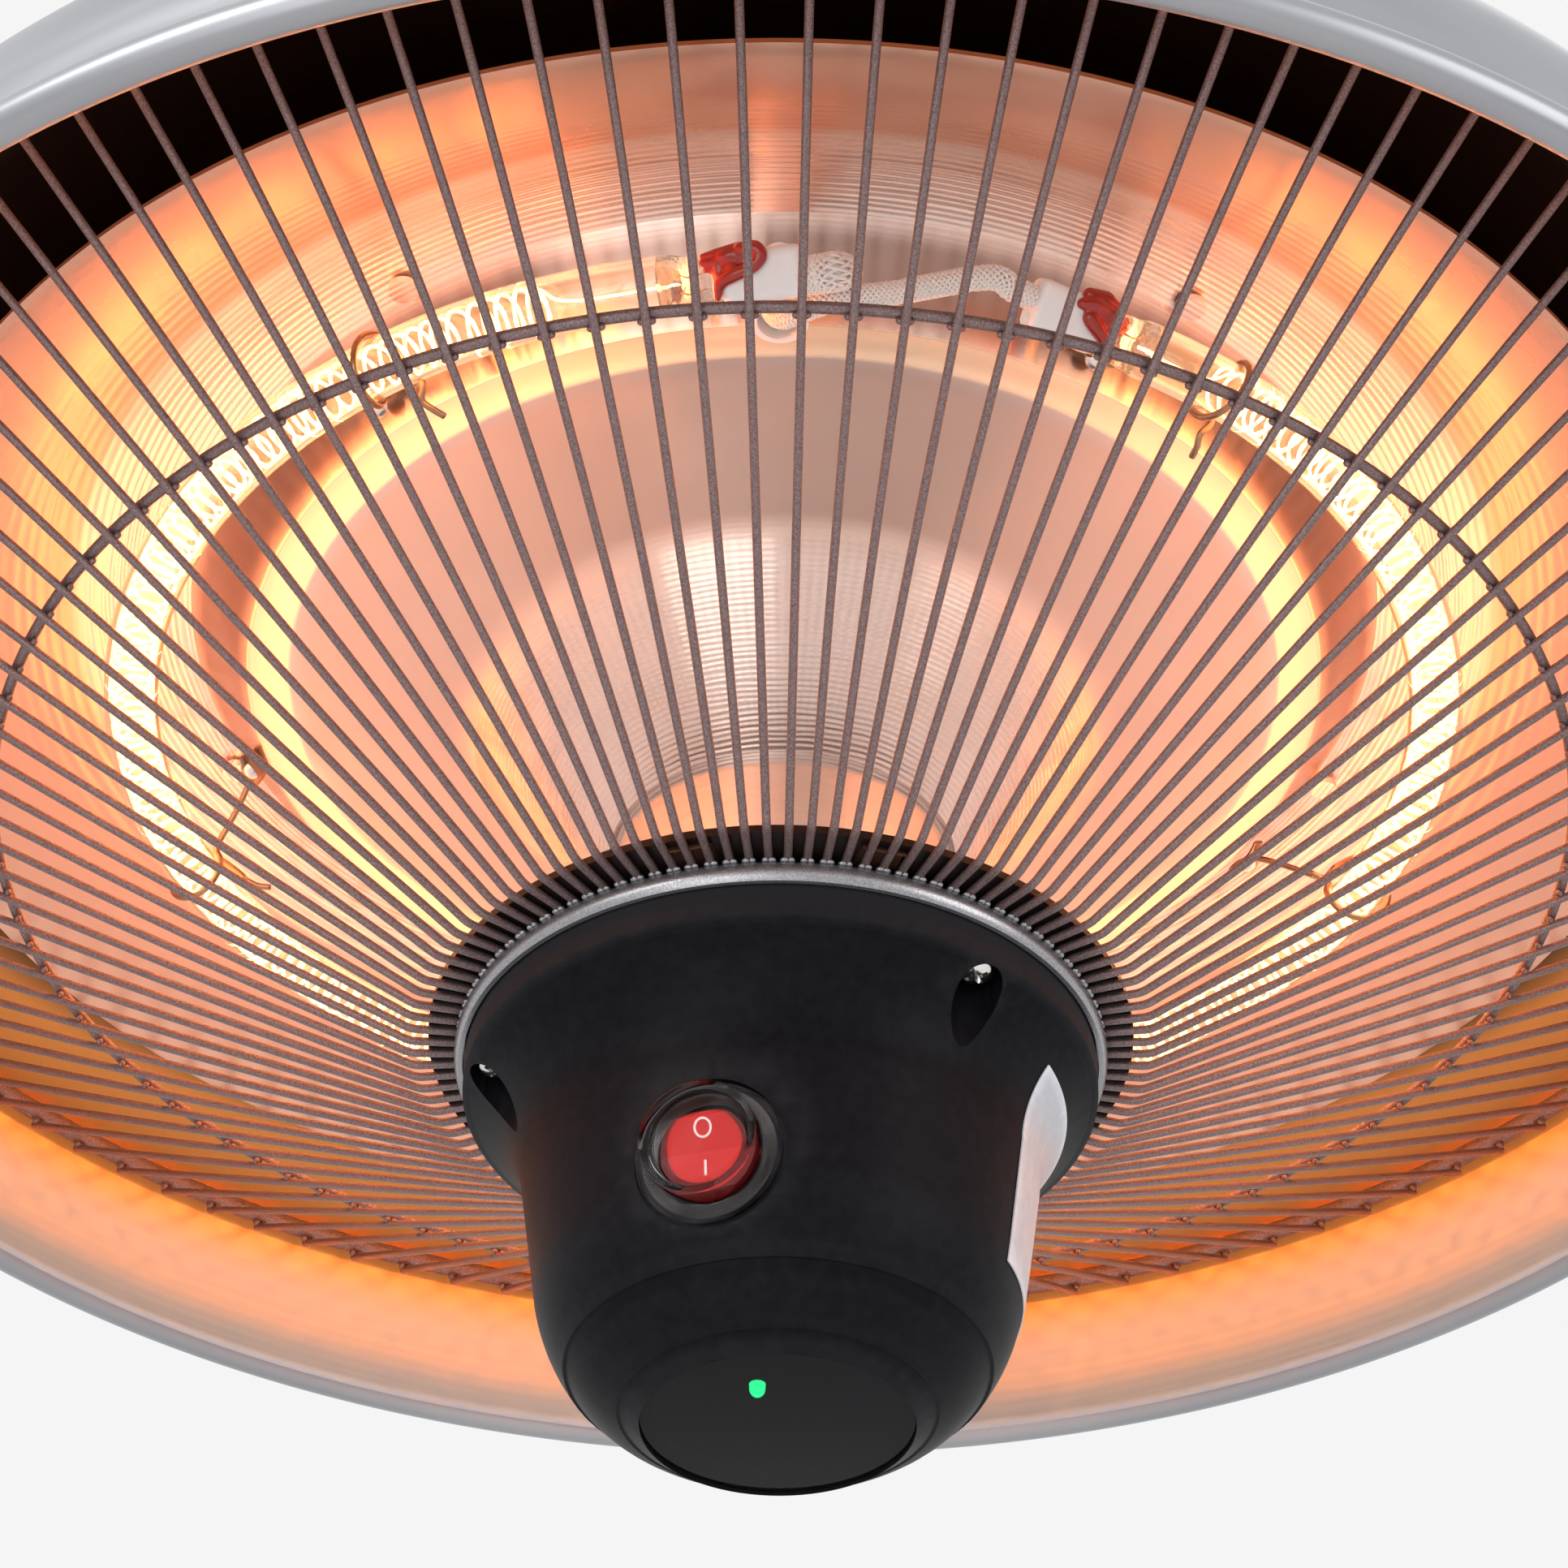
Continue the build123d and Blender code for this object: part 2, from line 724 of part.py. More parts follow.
with BuildPart() as guard_middle_ring:
    with Locations((0, 0, level(ring_height(middle_ring_radius, middle_ring_wire)))):
        Torus(middle_ring_radius, middle_ring_wire)
guard_middle_ring.part.label = "guard_middle_ring"
export_step(guard_middle_ring.part, "parts/guard_middle_ring.step")

with BuildPart() as guard_outer_ring:
    with Locations((0, 0, level(ring_height(outer_ring_radius, outer_ring_wire)))):
        Torus(outer_ring_radius, outer_ring_wire)
guard_outer_ring.part.label = "guard_outer_ring"
export_step(guard_outer_ring.part, "parts/guard_outer_ring.step")

# Lamp: quartz tube bent into an open ring
lamp_arc = lamp_end - lamp_start
with BuildPart() as lamp_tube:
    with BuildSketch(radial_plane(lamp_start)):
        with Locations((lamp_ring_radius, level(lamp_height))):
            Circle(tube_radius)
            Circle(tube_radius - tube_wall, mode=Mode.SUBTRACT)
    revolve(axis=Axis.Z, revolution_arc=lamp_arc)
lamp_tube.part.label = "lamp_tube"
export_step(lamp_tube.part, "parts/lamp_tube.step")


def end_plane(start_length, at_start):
    """Plane square to the lamp's ring, start_length beyond one of the tube's ends.

    x runs outwards and upwards, along the broad side of the flattened end.
    """
    step = arc_degrees(start_length, lamp_ring_radius)
    azimuth = lamp_start - step if at_start else lamp_end + step
    turn = math.radians(azimuth)
    along = Vector(-math.sin(turn), math.cos(turn), 0)
    return Plane(
        origin=place_at(lamp_ring_radius, azimuth, lamp_height),
        x_dir=(math.cos(turn), math.sin(turn), 1),
        z_dir=along * -1 if at_start else along,
    )


# Lamp: flattened ends that seal the tube
with BuildPart() as lamp_pinches:
    for at_start in (True, False):
        with BuildSketch(end_plane(0, at_start)):
            Circle(tube_radius)
        with BuildSketch(end_plane(0, at_start).offset(pinch_length)):
            RectangleRounded(pinch_width, pinch_thickness, pinch_thickness / 2 - part_gap)
        loft()
lamp_pinches.part.label = "lamp_pinches"
export_step(lamp_pinches.part, "parts/lamp_pinches.step")

# Lamp: red silicone boots, white ceramic holders
boot_start = pinch_length + end_gap
ceramic_start = boot_start + boot_length + end_gap
with BuildPart() as lamp_boots:
    for at_start in (True, False):
        with BuildSketch(end_plane(0, at_start).offset(boot_start)):
            RectangleRounded(boot_width, boot_thickness, ceramic_edge)
        extrude(amount=boot_length)
    boot_ends = lamp_boots.faces().filter_by(lambda face: face.area > 0.8 * boot_width * boot_thickness)
    fillet(boot_ends.edges(), boot_edge)
lamp_boots.part.label = "lamp_boots"
export_step(lamp_boots.part, "parts/lamp_boots.step")

with BuildPart() as lamp_ceramics:
    for at_start in (True, False):
        with BuildSketch(end_plane(0, at_start).offset(ceramic_start)):
            RectangleRounded(ceramic_width, ceramic_thickness, ceramic_edge)
        extrude(amount=ceramic_length)
lamp_ceramics.part.label = "lamp_ceramics"
export_step(lamp_ceramics.part, "parts/lamp_ceramics.step")


# Lamp filament: a wire wound round the tube's middle line, joined from biarcs
def coil_point(turns):
    """Point and direction of the coil after a number of turns from its start."""
    margin = math.radians(arc_degrees(filament_end_gap, lamp_ring_radius))
    begin = math.radians(lamp_start) + margin
    span = math.radians(lamp_arc) - 2 * margin
    rate = span / (2 * math.pi * filament_curls)
    wind = 2 * math.pi * turns
    turn = begin + rate * wind
    reach = lamp_ring_radius + filament_radius * math.cos(wind)
    point = Vector(
        reach * math.cos(turn),
        reach * math.sin(turn),
        level(lamp_height) + filament_radius * math.sin(wind),
    )
    pull = -filament_radius * math.sin(wind)
    direction = Vector(
        pull * math.cos(turn) - reach * rate * math.sin(turn),
        pull * math.sin(turn) + reach * rate * math.cos(turn),
        filament_radius * math.cos(wind),
    )
    return point, direction.normalized()


def biarc(start, start_pull, end, end_pull):
    """Two tangent arcs from start to end, each given by its first, middle and last point."""
    chord = end - start
    pulls = start_pull + end_pull
    b = chord.dot(pulls)
    a = 2 * (1 - start_pull.dot(end_pull))
    reach = (-b + math.sqrt(b * b + a * chord.dot(chord))) / a
    joint = (start + end + (start_pull - end_pull) * reach) * 0.5
    arcs = []
    for origin, pull, target in ((start, start_pull, joint), (end, end_pull * -1, joint)):
        line = target - origin
        half = math.acos(max(-1.0, min(1.0, line.normalized().dot(pull))))
        across = (pull - line.normalized() * math.cos(half)).normalized()
        bulge = line.length / 2 * math.tan(half / 2)
        arcs.append((origin, (origin + target) * 0.5 + across * bulge, target))
    return arcs


with BuildPart() as lamp_filament:
    with BuildLine() as filament_path:
        for half_turn in range(2 * filament_curls):
            here, here_pull = coil_point(half_turn / 2)
            there, there_pull = coil_point((half_turn + 1) / 2)
            first, second = biarc(here, here_pull, there, there_pull)
            ThreePointArc(*first)
            ThreePointArc(*reversed(second))
    with BuildSketch(Plane(origin=filament_path.line @ 0, z_dir=filament_path.line % 0)):
        Circle(filament_wire)
    sweep(path=filament_path.line)
lamp_filament.part.label = "lamp_filament"
export_step(lamp_filament.part, "parts/lamp_filament.step")

coil_samples = [coil_point(step / 24)[0] for step in range(24 * 4)]
coil_gap = min(
    (coil_samples[i] - coil_samples[j]).length
    for i in range(len(coil_samples))
    for j in range(i + 16, len(coil_samples))
)
print("filament least gap between turns", round(coil_gap - 2 * filament_wire, 2))

# Ceramic bush in the reflector for the two leads, with its connector above
bush_spot = place_at(bush_place_radius, bush_azimuth, bush_low_height)
with BuildPart() as lead_bush:
    with BuildSketch(Plane(origin=bush_spot)):
        Circle(bush_radius)
        Circle(bush_radius - bush_wall, mode=Mode.SUBTRACT)
    extrude(amount=bush_high_height - bush_low_height)
lead_bush.part.label = "lead_bush"
export_step(lead_bush.part, "parts/lead_bush.step")

connector_spot = place_at(bush_place_radius, bush_azimuth, bush_high_height)
with BuildPart() as lead_connector:
    with BuildSketch(Plane(origin=connector_spot)):
        RectangleRounded(connector_length, connector_width, ceramic_edge)
    extrude(amount=connector_depth)
lead_connector.part.label = "lead_connector"
export_step(lead_connector.part, "parts/lead_connector.step")


def lead_route(at_start):
    """Centre line of one lead: out of its ceramic holder, over to the bush and up through it."""
    outlet = end_plane(0, at_start).offset(ceramic_start + ceramic_length + end_gap)
    bush = place_at(bush_place_radius, bush_azimuth, bush_high_height - end_gap)
    gate = bush + Vector(-lead_spread if at_start else lead_spread, 0, 0)
    if at_start:
        middle = [
            outlet.origin + outlet.z_dir * 8,
            place_at(lamp_ring_radius - 1.0, front + 9.0, lamp_height - 0.5),
            place_at(lamp_ring_radius - 4.5, front + 4.0, lamp_height - 1.0),
            place_at(lamp_ring_radius - 10.5, front + 0.6, lamp_height - 1.5),
            Vector(gate.X, gate.Y, level(lamp_height + 0.5)),
        ]
    else:
        middle = [
            outlet.origin + outlet.z_dir * 5,
            place_at(lamp_ring_radius - 1.0, front + 4.3, lamp_height + 3.8),
            place_at(lamp_ring_radius - 9.5, front + 2.3, lamp_height + 5.3),
            Vector(gate.X, gate.Y, level(lamp_height + 2.5)),
        ]
    return [outlet.origin, *middle, gate]


def corner_radii(points, share=0.45):
    """Largest even radius for each inner corner of a route."""
    radii = []
    for before, here, after in zip(points, points[1:], points[2:]):
        arrive, leave = here - before, after - here
        turn = math.radians(arrive.get_angle(leave))
        radii.append(share * min(arrive.length, leave.length) / math.tan(turn / 2))
    return radii


for at_start, lead_name in ((True, "lamp_lead_right"), (False, "lamp_lead_left")):
    route = lead_route(at_start)
    radii = corner_radii(route)
    print(lead_name, "corner radii", [round(radius, 1) for radius in radii])
    with BuildPart() as lamp_lead:
        with BuildLine() as lead_path:
            FilletPolyline(*route, radius=radii)
        with BuildSketch(Plane(origin=lead_path.line @ 0, z_dir=lead_path.line % 0)):
            Circle(lead_radius)
        sweep(path=lead_path.line)
    lamp_lead.part.label = lead_name
    export_step(lamp_lead.part, f"parts/{lead_name}.step")
    lead_length = sum(edge.length for edge in lead_path.edges())
    volume_share = lamp_lead.part.volume / (math.pi * lead_radius**2 * lead_length)
    print(lead_name, "length", round(lead_length, 1), "volume share", round(volume_share, 4))


# Lamp clips: a hoop round the tube and a leg up to a rivet in the trough
def trough_height_at(radius):
    """Lowest height of the reflector's trough over a radius between its creases."""
    share = (radius - trough_radius) / (crease_radius - trough_radius)
    chord = trough_height + share * (crease_height - trough_height)
    return chord + 4 * trough_crown * share * (1 - share)


hoop_radius = tube_radius + clip_gap + clip_wire
clip_top = trough_height_at(lamp_ring_radius - hoop_radius - rivet_radius) - rivet_thickness - clip_gap
with BuildPart() as lamp_clips:
    for azimuth in clip_azimuths:
        with BuildLine(radial_plane(azimuth)) as clip_path:
            hoop_start = (lamp_ring_radius - hoop_radius, level(lamp_height))
            CenterArc((lamp_ring_radius, level(lamp_height)), hoop_radius, 90, -270)
            Line(hoop_start, (hoop_start[0], level(clip_top)))
        with BuildSketch(Plane(origin=clip_path.line @ 0, z_dir=clip_path.line % 0)):
            Circle(clip_wire)
        sweep(path=clip_path.line)
lamp_clips.part.label = "lamp_clips"
export_step(lamp_clips.part, "parts/lamp_clips.step")

with BuildPart() as clip_rivets:
    for azimuth in clip_azimuths:
        foot = place_at(lamp_ring_radius - hoop_radius, azimuth, clip_top + clip_gap / 2)
        with BuildSketch(Plane(origin=foot)):
            Circle(rivet_radius)
        extrude(amount=rivet_thickness)
clip_rivets.part.label = "clip_rivets"
export_step(clip_rivets.part, "parts/clip_rivets.step")


# Housing
def housing_line(inset):
    """Outline of the housing from the rim down to the window, moved in by inset."""
    rim = housing_rim_radius - inset
    step = (rim - housing_step, level(housing_rim_height - housing_step / 2))
    flare_mid = (flare_mid_radius - inset, level(flare_mid_height))
    flare_end = (flare_end_radius - inset, level(flare_end_height))
    waist = (waist_radius - inset, level(waist_height))
    lift = bowl_wall_share * inset
    bowl_mid = (bowl_mid_radius - inset, level(bowl_mid_height) + lift / 3)
    bowl = (bowl_radius - inset, level(bowl_height) + lift)
    groove = (bowl_radius - inset - groove_step, level(bowl_height) + lift)
    chin_mid = (chin_mid_radius - inset, level(chin_mid_height) + lift)
    chin = (chin_radius - inset, level(chin_height) + inset)
    chin_groove = (chin_radius - inset - groove_step, level(chin_height) + inset)
    Line((rim, level(inner_ring_under)), (rim, level(housing_rim_height)))
    Line((rim, level(housing_rim_height)), step)
    ThreePointArc(step, flare_mid, flare_end)
    Line(flare_end, waist)
    ThreePointArc(waist, bowl_mid, bowl)
    Line(bowl, groove)
    ThreePointArc(groove, chin_mid, chin)
    Line(chin, chin_groove)
    bottom = (window_seat_radius - 2 * inset, level(window_height) + inset + (window_ledge if inset else 0))
    Line(chin_groove, bottom)
    Line(bottom, (0, bottom[1]))
    Line((0, bottom[1]), (0, level(inner_ring_under)))
    Line((0, level(inner_ring_under)), (rim, level(inner_ring_under)))


def housing_solid(inset):
    with BuildPart() as solid:
        with BuildSketch(Plane.XZ):
            with BuildLine():
                housing_line(inset)
            make_face()
        revolve(axis=Axis.Z)
    return solid.part


switch_turn = math.radians(switch_azimuth)
switch_lean = math.radians(switch_tilt)
switch_axis = Vector(
    math.cos(switch_turn) * math.cos(switch_lean),
    math.sin(switch_turn) * math.cos(switch_lean),
    -math.sin(switch_lean),
)
switch_across = Vector(-math.sin(switch_turn), math.cos(switch_turn), 0)
switch_seat = Plane(
    origin=place_at(switch_seat_reach, switch_azimuth, switch_height),
    x_dir=switch_across,
    z_dir=switch_axis,
)
window_hole_radius = window_seat_radius - window_ledge

with BuildPart(mode=Mode.PRIVATE) as housing_hollow:
    add(housing_solid(housing_wall))
    for spot in screw_places(0):
        with BuildSketch(Plane(origin=(spot.X, spot.Y, level(inner_ring_under)))):
            Circle(screw_boss_radius)
        extrude(amount=-through_housing, mode=Mode.SUBTRACT)
    for azimuth in post_azimuths:
        post = place_at(post_place_radius, azimuth, board_height)
        with BuildSketch(Plane(origin=post)):
            Circle(post_radius)
        extrude(amount=-through_housing, mode=Mode.SUBTRACT)
    with BuildSketch(switch_seat.offset(-switch_boss_depth)):
        Circle(switch_boss_radius)
    extrude(amount=through_housing, mode=Mode.SUBTRACT)

with BuildPart() as housing_shell:
    add(housing_solid(0))
    add(housing_hollow.part, mode=Mode.SUBTRACT)
    for spot in screw_places(screw_floor_height):
        with BuildSketch(Plane(origin=spot)):
            Circle(screw_pocket_radius)
        extrude(amount=-through_housing, mode=Mode.SUBTRACT)
        with BuildSketch(Plane(origin=spot)):
            Circle(screw_shank_radius + screw_hole_clearance)
        extrude(amount=through_housing, mode=Mode.SUBTRACT)
    for azimuth in post_azimuths:
        post = place_at(post_place_radius, azimuth, board_height)
        with BuildSketch(Plane(origin=post)):
            Circle(board_screw_radius + thread_clearance)
        extrude(amount=-board_screw_grip - board_screw_room, mode=Mode.SUBTRACT)
    with BuildSketch(switch_seat):
        Circle(switch_recess_radius)
    extrude(amount=through_housing, mode=Mode.SUBTRACT)
    with BuildSketch(switch_seat):
        Circle(switch_barrel_radius + switch_barrel_clearance)
    extrude(amount=-switch_depth / 2, mode=Mode.SUBTRACT)
    with BuildSketch(Plane.XY.offset(level(window_height))):
        Circle(window_seat_radius)
    extrude(amount=window_thickness + window_crown, mode=Mode.SUBTRACT)
    with BuildSketch(Plane.XY.offset(level(window_height))):
        Circle(window_hole_radius)
    extrude(amount=4 * window_ledge, mode=Mode.SUBTRACT)
housing_shell.part.label = "housing_shell"
export_step(housing_shell.part, "parts/housing_shell.step")

# Housing screws, pan heads up in the pockets
with BuildPart() as housing_screws:
    for spot in screw_places(screw_floor_height):
        with BuildSketch(Plane(origin=spot)):
            Circle(screw_shank_radius)
        extrude(amount=disc_high_height - screw_floor_height)
        with BuildSketch(Plane(origin=spot)):
            Circle(screw_head_radius)
        extrude(amount=-screw_head_height)
        with BuildSketch(Plane(origin=spot - Vector(0, 0, screw_head_height))):
            Rectangle(screw_slot_share * screw_head_radius, screw_slot)
            Rectangle(screw_slot, screw_slot_share * screw_head_radius)
        extrude(amount=screw_head_height / 2, mode=Mode.SUBTRACT)
housing_screws.part.label = "housing_screws"
export_step(housing_screws.part, "parts/housing_screws.step")

# Sensor window, slightly crowned
crown_radius = (window_radius**2 + window_crown**2) / (2 * window_crown)
crown_turn = math.degrees(math.asin(window_radius / crown_radius))
with BuildPart() as sensor_window:
    with BuildSketch(Plane.XZ):
        with BuildLine():
            window_top = level(window_height) + window_thickness + window_crown
            window_edge = level(window_height) + window_crown
            Line((0, window_top), (window_radius, window_top))
            Line((window_radius, window_top), (window_radius, window_edge))
            CenterArc((0, window_edge - window_crown + crown_radius), crown_radius, 270, crown_turn)
            Line((0, window_edge - window_crown), (0, window_top))
        make_face()
    revolve(axis=Axis.Z)
sensor_window.part.label = "sensor_window"
export_step(sensor_window.part, "parts/sensor_window.step")


# Blank label on the side of the housing
def label_edge(lift):
    top = (flare_radius_at(label_top_height) + lift, level(label_top_height))
    flare_end = (flare_end_radius + lift, level(flare_end_height))
    middle_height = (label_top_height + flare_end_height) / 2
    flare_mid = (flare_radius_at(middle_height) + lift, level(middle_height))
    waist = (waist_radius + lift, level(waist_height))
    below = (bowl_radius_at(label_bottom_height) + lift, level(label_bottom_height))
    ThreePointArc(top, flare_mid, flare_end)
    Line(flare_end, waist)
    Line(waist, below)
    return top, below


def circle_through(first, second, third):
    """Centre and radius of the circle through three points of the outline."""
    ax, ay = first
    bx, by = second
    cx, cy = third
    d = 2 * (ax * (by - cy) + bx * (cy - ay) + cx * (ay - by))
    a2, b2, c2 = ax * ax + ay * ay, bx * bx + by * by, cx * cx + cy * cy
    x = (a2 * (by - cy) + b2 * (cy - ay) + c2 * (ay - by)) / d
    y = (a2 * (cx - bx) + b2 * (ax - cx) + c2 * (bx - ax)) / d
    return x, y, math.hypot(ax - x, ay - y)


def flare_radius_at(height):
    """Outer radius of the housing's hollow flare at a height."""
    step = (housing_rim_radius - housing_step, housing_rim_height - housing_step / 2)
    x, y, radius = circle_through(
        step, (flare_mid_radius, flare_mid_height), (flare_end_radius, flare_end_height)
    )
    return x - math.sqrt(radius**2 - (height - y) ** 2)


def bowl_radius_at(height):
    """Outer radius of the housing's round lower part at a height."""
    x, y, radius = circle_through(
        (waist_radius, waist_height), (bowl_mid_radius, bowl_mid_height), (bowl_radius, bowl_height)
    )
    return x + math.sqrt(radius**2 - (height - y) ** 2)


with BuildPart() as label_plate:
    with BuildSketch(radial_plane(label_start)):
        with BuildLine():
            low_top, low_below = label_edge(label_gap)
            high_top, high_below = label_edge(label_gap + label_thickness)
            Line(low_top, high_top)
            Line(low_below, high_below)
        make_face()
    revolve(axis=Axis.Z, revolution_arc=label_arc)
label_plate.part.label = "label_plate"
export_step(label_plate.part, "parts/label_plate.step")

# Switch body: bezel, barrel with its well, floor and hinge bores
with BuildPart() as switch_body:
    with BuildSketch(switch_seat):
        Circle(switch_bezel_radius)
    extrude(amount=switch_bezel_thickness)
    with BuildSketch(switch_seat):
        Circle(switch_barrel_radius)
    extrude(amount=-switch_depth)
    with BuildSketch(switch_seat.offset(switch_bezel_thickness)):
        Circle(switch_well_radius)
    extrude(amount=-switch_bezel_thickness - switch_depth + switch_floor, mode=Mode.SUBTRACT)
    hinge_plane = Plane(
        origin=switch_seat.origin - switch_axis * hinge_depth, x_dir=switch_axis, z_dir=switch_across
    )
    with BuildSketch(hinge_plane):
        Circle(rocker_pin_radius + rocker_pin_clearance)
    extrude(amount=rocker_pin_reach + rocker_pin_clearance, both=True, mode=Mode.SUBTRACT)
    with BuildSketch(switch_seat.offset(-switch_depth)):
        with GridLocations(0, terminal_spacing, 1, 3):
            Rectangle(terminal_width + 2 * part_gap, terminal_thickness + 2 * part_gap)
    extrude(amount=switch_floor, mode=Mode.SUBTRACT)
switch_body.part.label = "switch_body"
export_step(switch_body.part, "parts/switch_body.step")

# Rocker, tipped with its lower half pressed in
hinge_centre = switch_seat.origin - switch_axis * hinge_depth


def tipped(angle):
    """The switch's axis, tipped about the line across it, with its lower side pressed in."""
    turn = math.radians(angle)
    return switch_axis * math.cos(turn) + switch_across.cross(switch_axis) * math.sin(turn)


rocker_frame = Plane(origin=hinge_centre, x_dir=switch_across, z_dir=tipped(rocker_angle))
rocker_side = Plane(origin=hinge_centre, x_dir=rocker_frame.y_dir, z_dir=rocker_frame.x_dir)
face_rise = rocker_radius * math.tan(math.radians(rocker_angle))
with BuildPart() as rocker:
    with BuildSketch(rocker_side):
        with BuildLine():
            Polyline(
                (0, rocker_face + hinge_depth),
                (2 * rocker_radius, rocker_face + hinge_depth + 2 * face_rise),
                (2 * rocker_radius, -rocker_skirt),
                (-2 * rocker_radius, -rocker_skirt),
                (-2 * rocker_radius, rocker_face + hinge_depth + 2 * face_rise),
                close=True,
            )
        make_face()
        Circle(rocker_sweep_radius, mode=Mode.INTERSECT)
    extrude(amount=2 * rocker_radius, both=True)
    with BuildSketch(rocker_frame.offset(-2 * rocker_skirt)):
        Circle(rocker_radius)
    extrude(amount=6 * rocker_skirt, mode=Mode.INTERSECT)
    with BuildSketch(rocker_frame.offset(-rocker_skirt)):
        Circle(rocker_radius - rocker_skin)
        Circle(rocker_post_radius, mode=Mode.SUBTRACT)
    extrude(amount=rocker_skirt - rocker_pin_radius - rocker_roof, mode=Mode.SUBTRACT)
    with BuildSketch(rocker_frame.offset(-rocker_skirt)):
        Circle(plunger_radius + plunger_clearance)
    extrude(amount=rocker_skirt, mode=Mode.SUBTRACT)
    with BuildSketch(rocker_side):
        Circle(rocker_pin_radius)
    extrude(amount=rocker_pin_reach, both=True)
    with BuildSketch(rocker_frame.offset(-rocker_skirt)):
        Circle(plunger_radius + plunger_clearance)
    extrude(amount=rocker_skirt, mode=Mode.SUBTRACT)
rocker.part.label = "rocker"
export_step(rocker.part, "parts/rocker.step")

# Plunger with a round tip inside the rocker's post
with BuildPart() as rocker_plunger:
    with BuildSketch(rocker_frame.offset(-plunger_reach + plunger_radius)):
        Circle(plunger_radius)
    extrude(amount=plunger_reach - plunger_radius - plunger_top_gap)
    with Locations(rocker_frame.offset(-plunger_reach + plunger_radius)):
        Sphere(plunger_radius)
rocker_plunger.part.label = "rocker_plunger"
export_step(rocker_plunger.part, "parts/rocker_plunger.step")

# Contact lever that the plunger tips the other way
lever_depth = plunger_reach + lever_gap
fulcrum_centre = hinge_centre - switch_axis * (lever_depth + lever_thickness)
lever_seat = Plane(origin=fulcrum_centre, x_dir=switch_across, z_dir=tipped(-lever_angle))
with BuildPart() as contact_lever:
    with BuildSketch(lever_seat):
        Rectangle(lever_width, 2 * lever_half_length)
    extrude(amount=lever_thickness)
contact_lever.part.label = "contact_lever"
export_step(contact_lever.part, "parts/contact_lever.step")

# Terminals: the middle one carries the fulcrum, the others stand under the lever's ends
floor_inside = switch_depth - switch_floor
fulcrum_drop = hinge_depth + lever_depth + lever_thickness
end_swing = lever_half_length * math.tan(math.radians(lever_angle))
with BuildPart() as switch_terminals:
    with BuildSketch(switch_seat.offset(-switch_depth - terminal_reach)):
        with GridLocations(0, terminal_spacing, 1, 3):
            Rectangle(terminal_width, terminal_thickness)
    extrude(amount=terminal_reach + switch_floor)
    with BuildSketch(switch_seat.offset(-floor_inside)):
        Rectangle(terminal_width, terminal_thickness)
    extrude(amount=floor_inside - fulcrum_drop - fulcrum_gap)
    for side in (-1, 1):
        with BuildSketch(switch_seat.offset(-floor_inside)):
            with Locations((0, side * terminal_spacing)):
                Rectangle(terminal_width, terminal_thickness)
        extrude(amount=floor_inside - fulcrum_drop - end_swing - fulcrum_gap)
switch_terminals.part.label = "switch_terminals"
export_step(switch_terminals.part, "parts/switch_terminals.step")

# Splash cap: clear cup with a flange that fits over the bezel
with BuildPart() as splash_cap:
    with BuildSketch(switch_seat.offset(part_gap)):
        Circle(splash_flange_radius)
    extrude(amount=switch_bezel_thickness + splash_flange_thickness)
    with BuildSketch(switch_seat.offset(part_gap)):
        Circle(splash_radius)
    extrude(amount=splash_top_height - part_gap)
    splash_rim = splash_cap.edges().filter_by(GeomType.CIRCLE).sort_by(
        Axis(origin=switch_seat.origin, direction=switch_axis)
    )[-1]
    fillet(splash_rim, splash_rounding)
    with BuildSketch(switch_seat.offset(part_gap)):
        Circle(switch_bezel_radius + splash_skirt_clearance)
    extrude(amount=switch_bezel_thickness, mode=Mode.SUBTRACT)
    with BuildSketch(switch_seat.offset(part_gap)):
        Circle(splash_radius - splash_wall)
    extrude(amount=splash_top_height - part_gap - splash_wall, mode=Mode.SUBTRACT)
splash_cap.part.label = "splash_cap"
export_step(splash_cap.part, "parts/splash_cap.step")

# Wires from the switch's terminals down to the board
board_top = level(board_height) + board_thickness
terminal_ends = switch_seat.offset(-switch_depth - terminal_reach - part_gap)
with BuildPart() as switch_wires:
    for place in (-1, 0, 1):
        wire_start = terminal_ends.origin + terminal_ends.y_dir * (place * terminal_spacing)
        wire_turn = wire_start - switch_axis * (switch_wire_reach + place * switch_wire_step)
        wire_end = Vector(wire_turn.X, wire_turn.Y, board_top + part_gap)
        wire_route = [wire_start, wire_turn, wire_end]
        with BuildLine() as switch_wire_path:
            FilletPolyline(*wire_route, radius=corner_radii(wire_route))
        with BuildSketch(Plane(origin=wire_start, z_dir=wire_turn - wire_start)):
            Circle(switch_wire_radius)
        sweep(path=switch_wire_path.line)
switch_wires.part.label = "switch_wires"
export_step(switch_wires.part, "parts/switch_wires.step")

# Cable from the terminal block down the threaded tube to the board
outlet_y = -block_offset + block_width / 2 + part_gap
column_route = [
    Vector(0, outlet_y, level(roof_height + block_outlet_height)),
    Vector(0, outlet_y + cable_level_run, level(roof_height + block_outlet_height)),
    Vector(0, -cable_turn_reach, level(roof_height + slot_centre_height)),
    Vector(0, 0, level(roof_height + slot_centre_height)),
    Vector(0, 0, board_top + part_gap),
]
with BuildPart() as column_cable:
    with BuildLine() as column_path:
        FilletPolyline(*column_route, radius=corner_radii(column_route))
    with BuildSketch(Plane(origin=column_route[0], z_dir=column_route[1] - column_route[0])):
        Circle(cable_radius)
    sweep(path=column_path.line)
column_cable.part.label = "column_cable"
export_step(column_cable.part, "parts/column_cable.step")

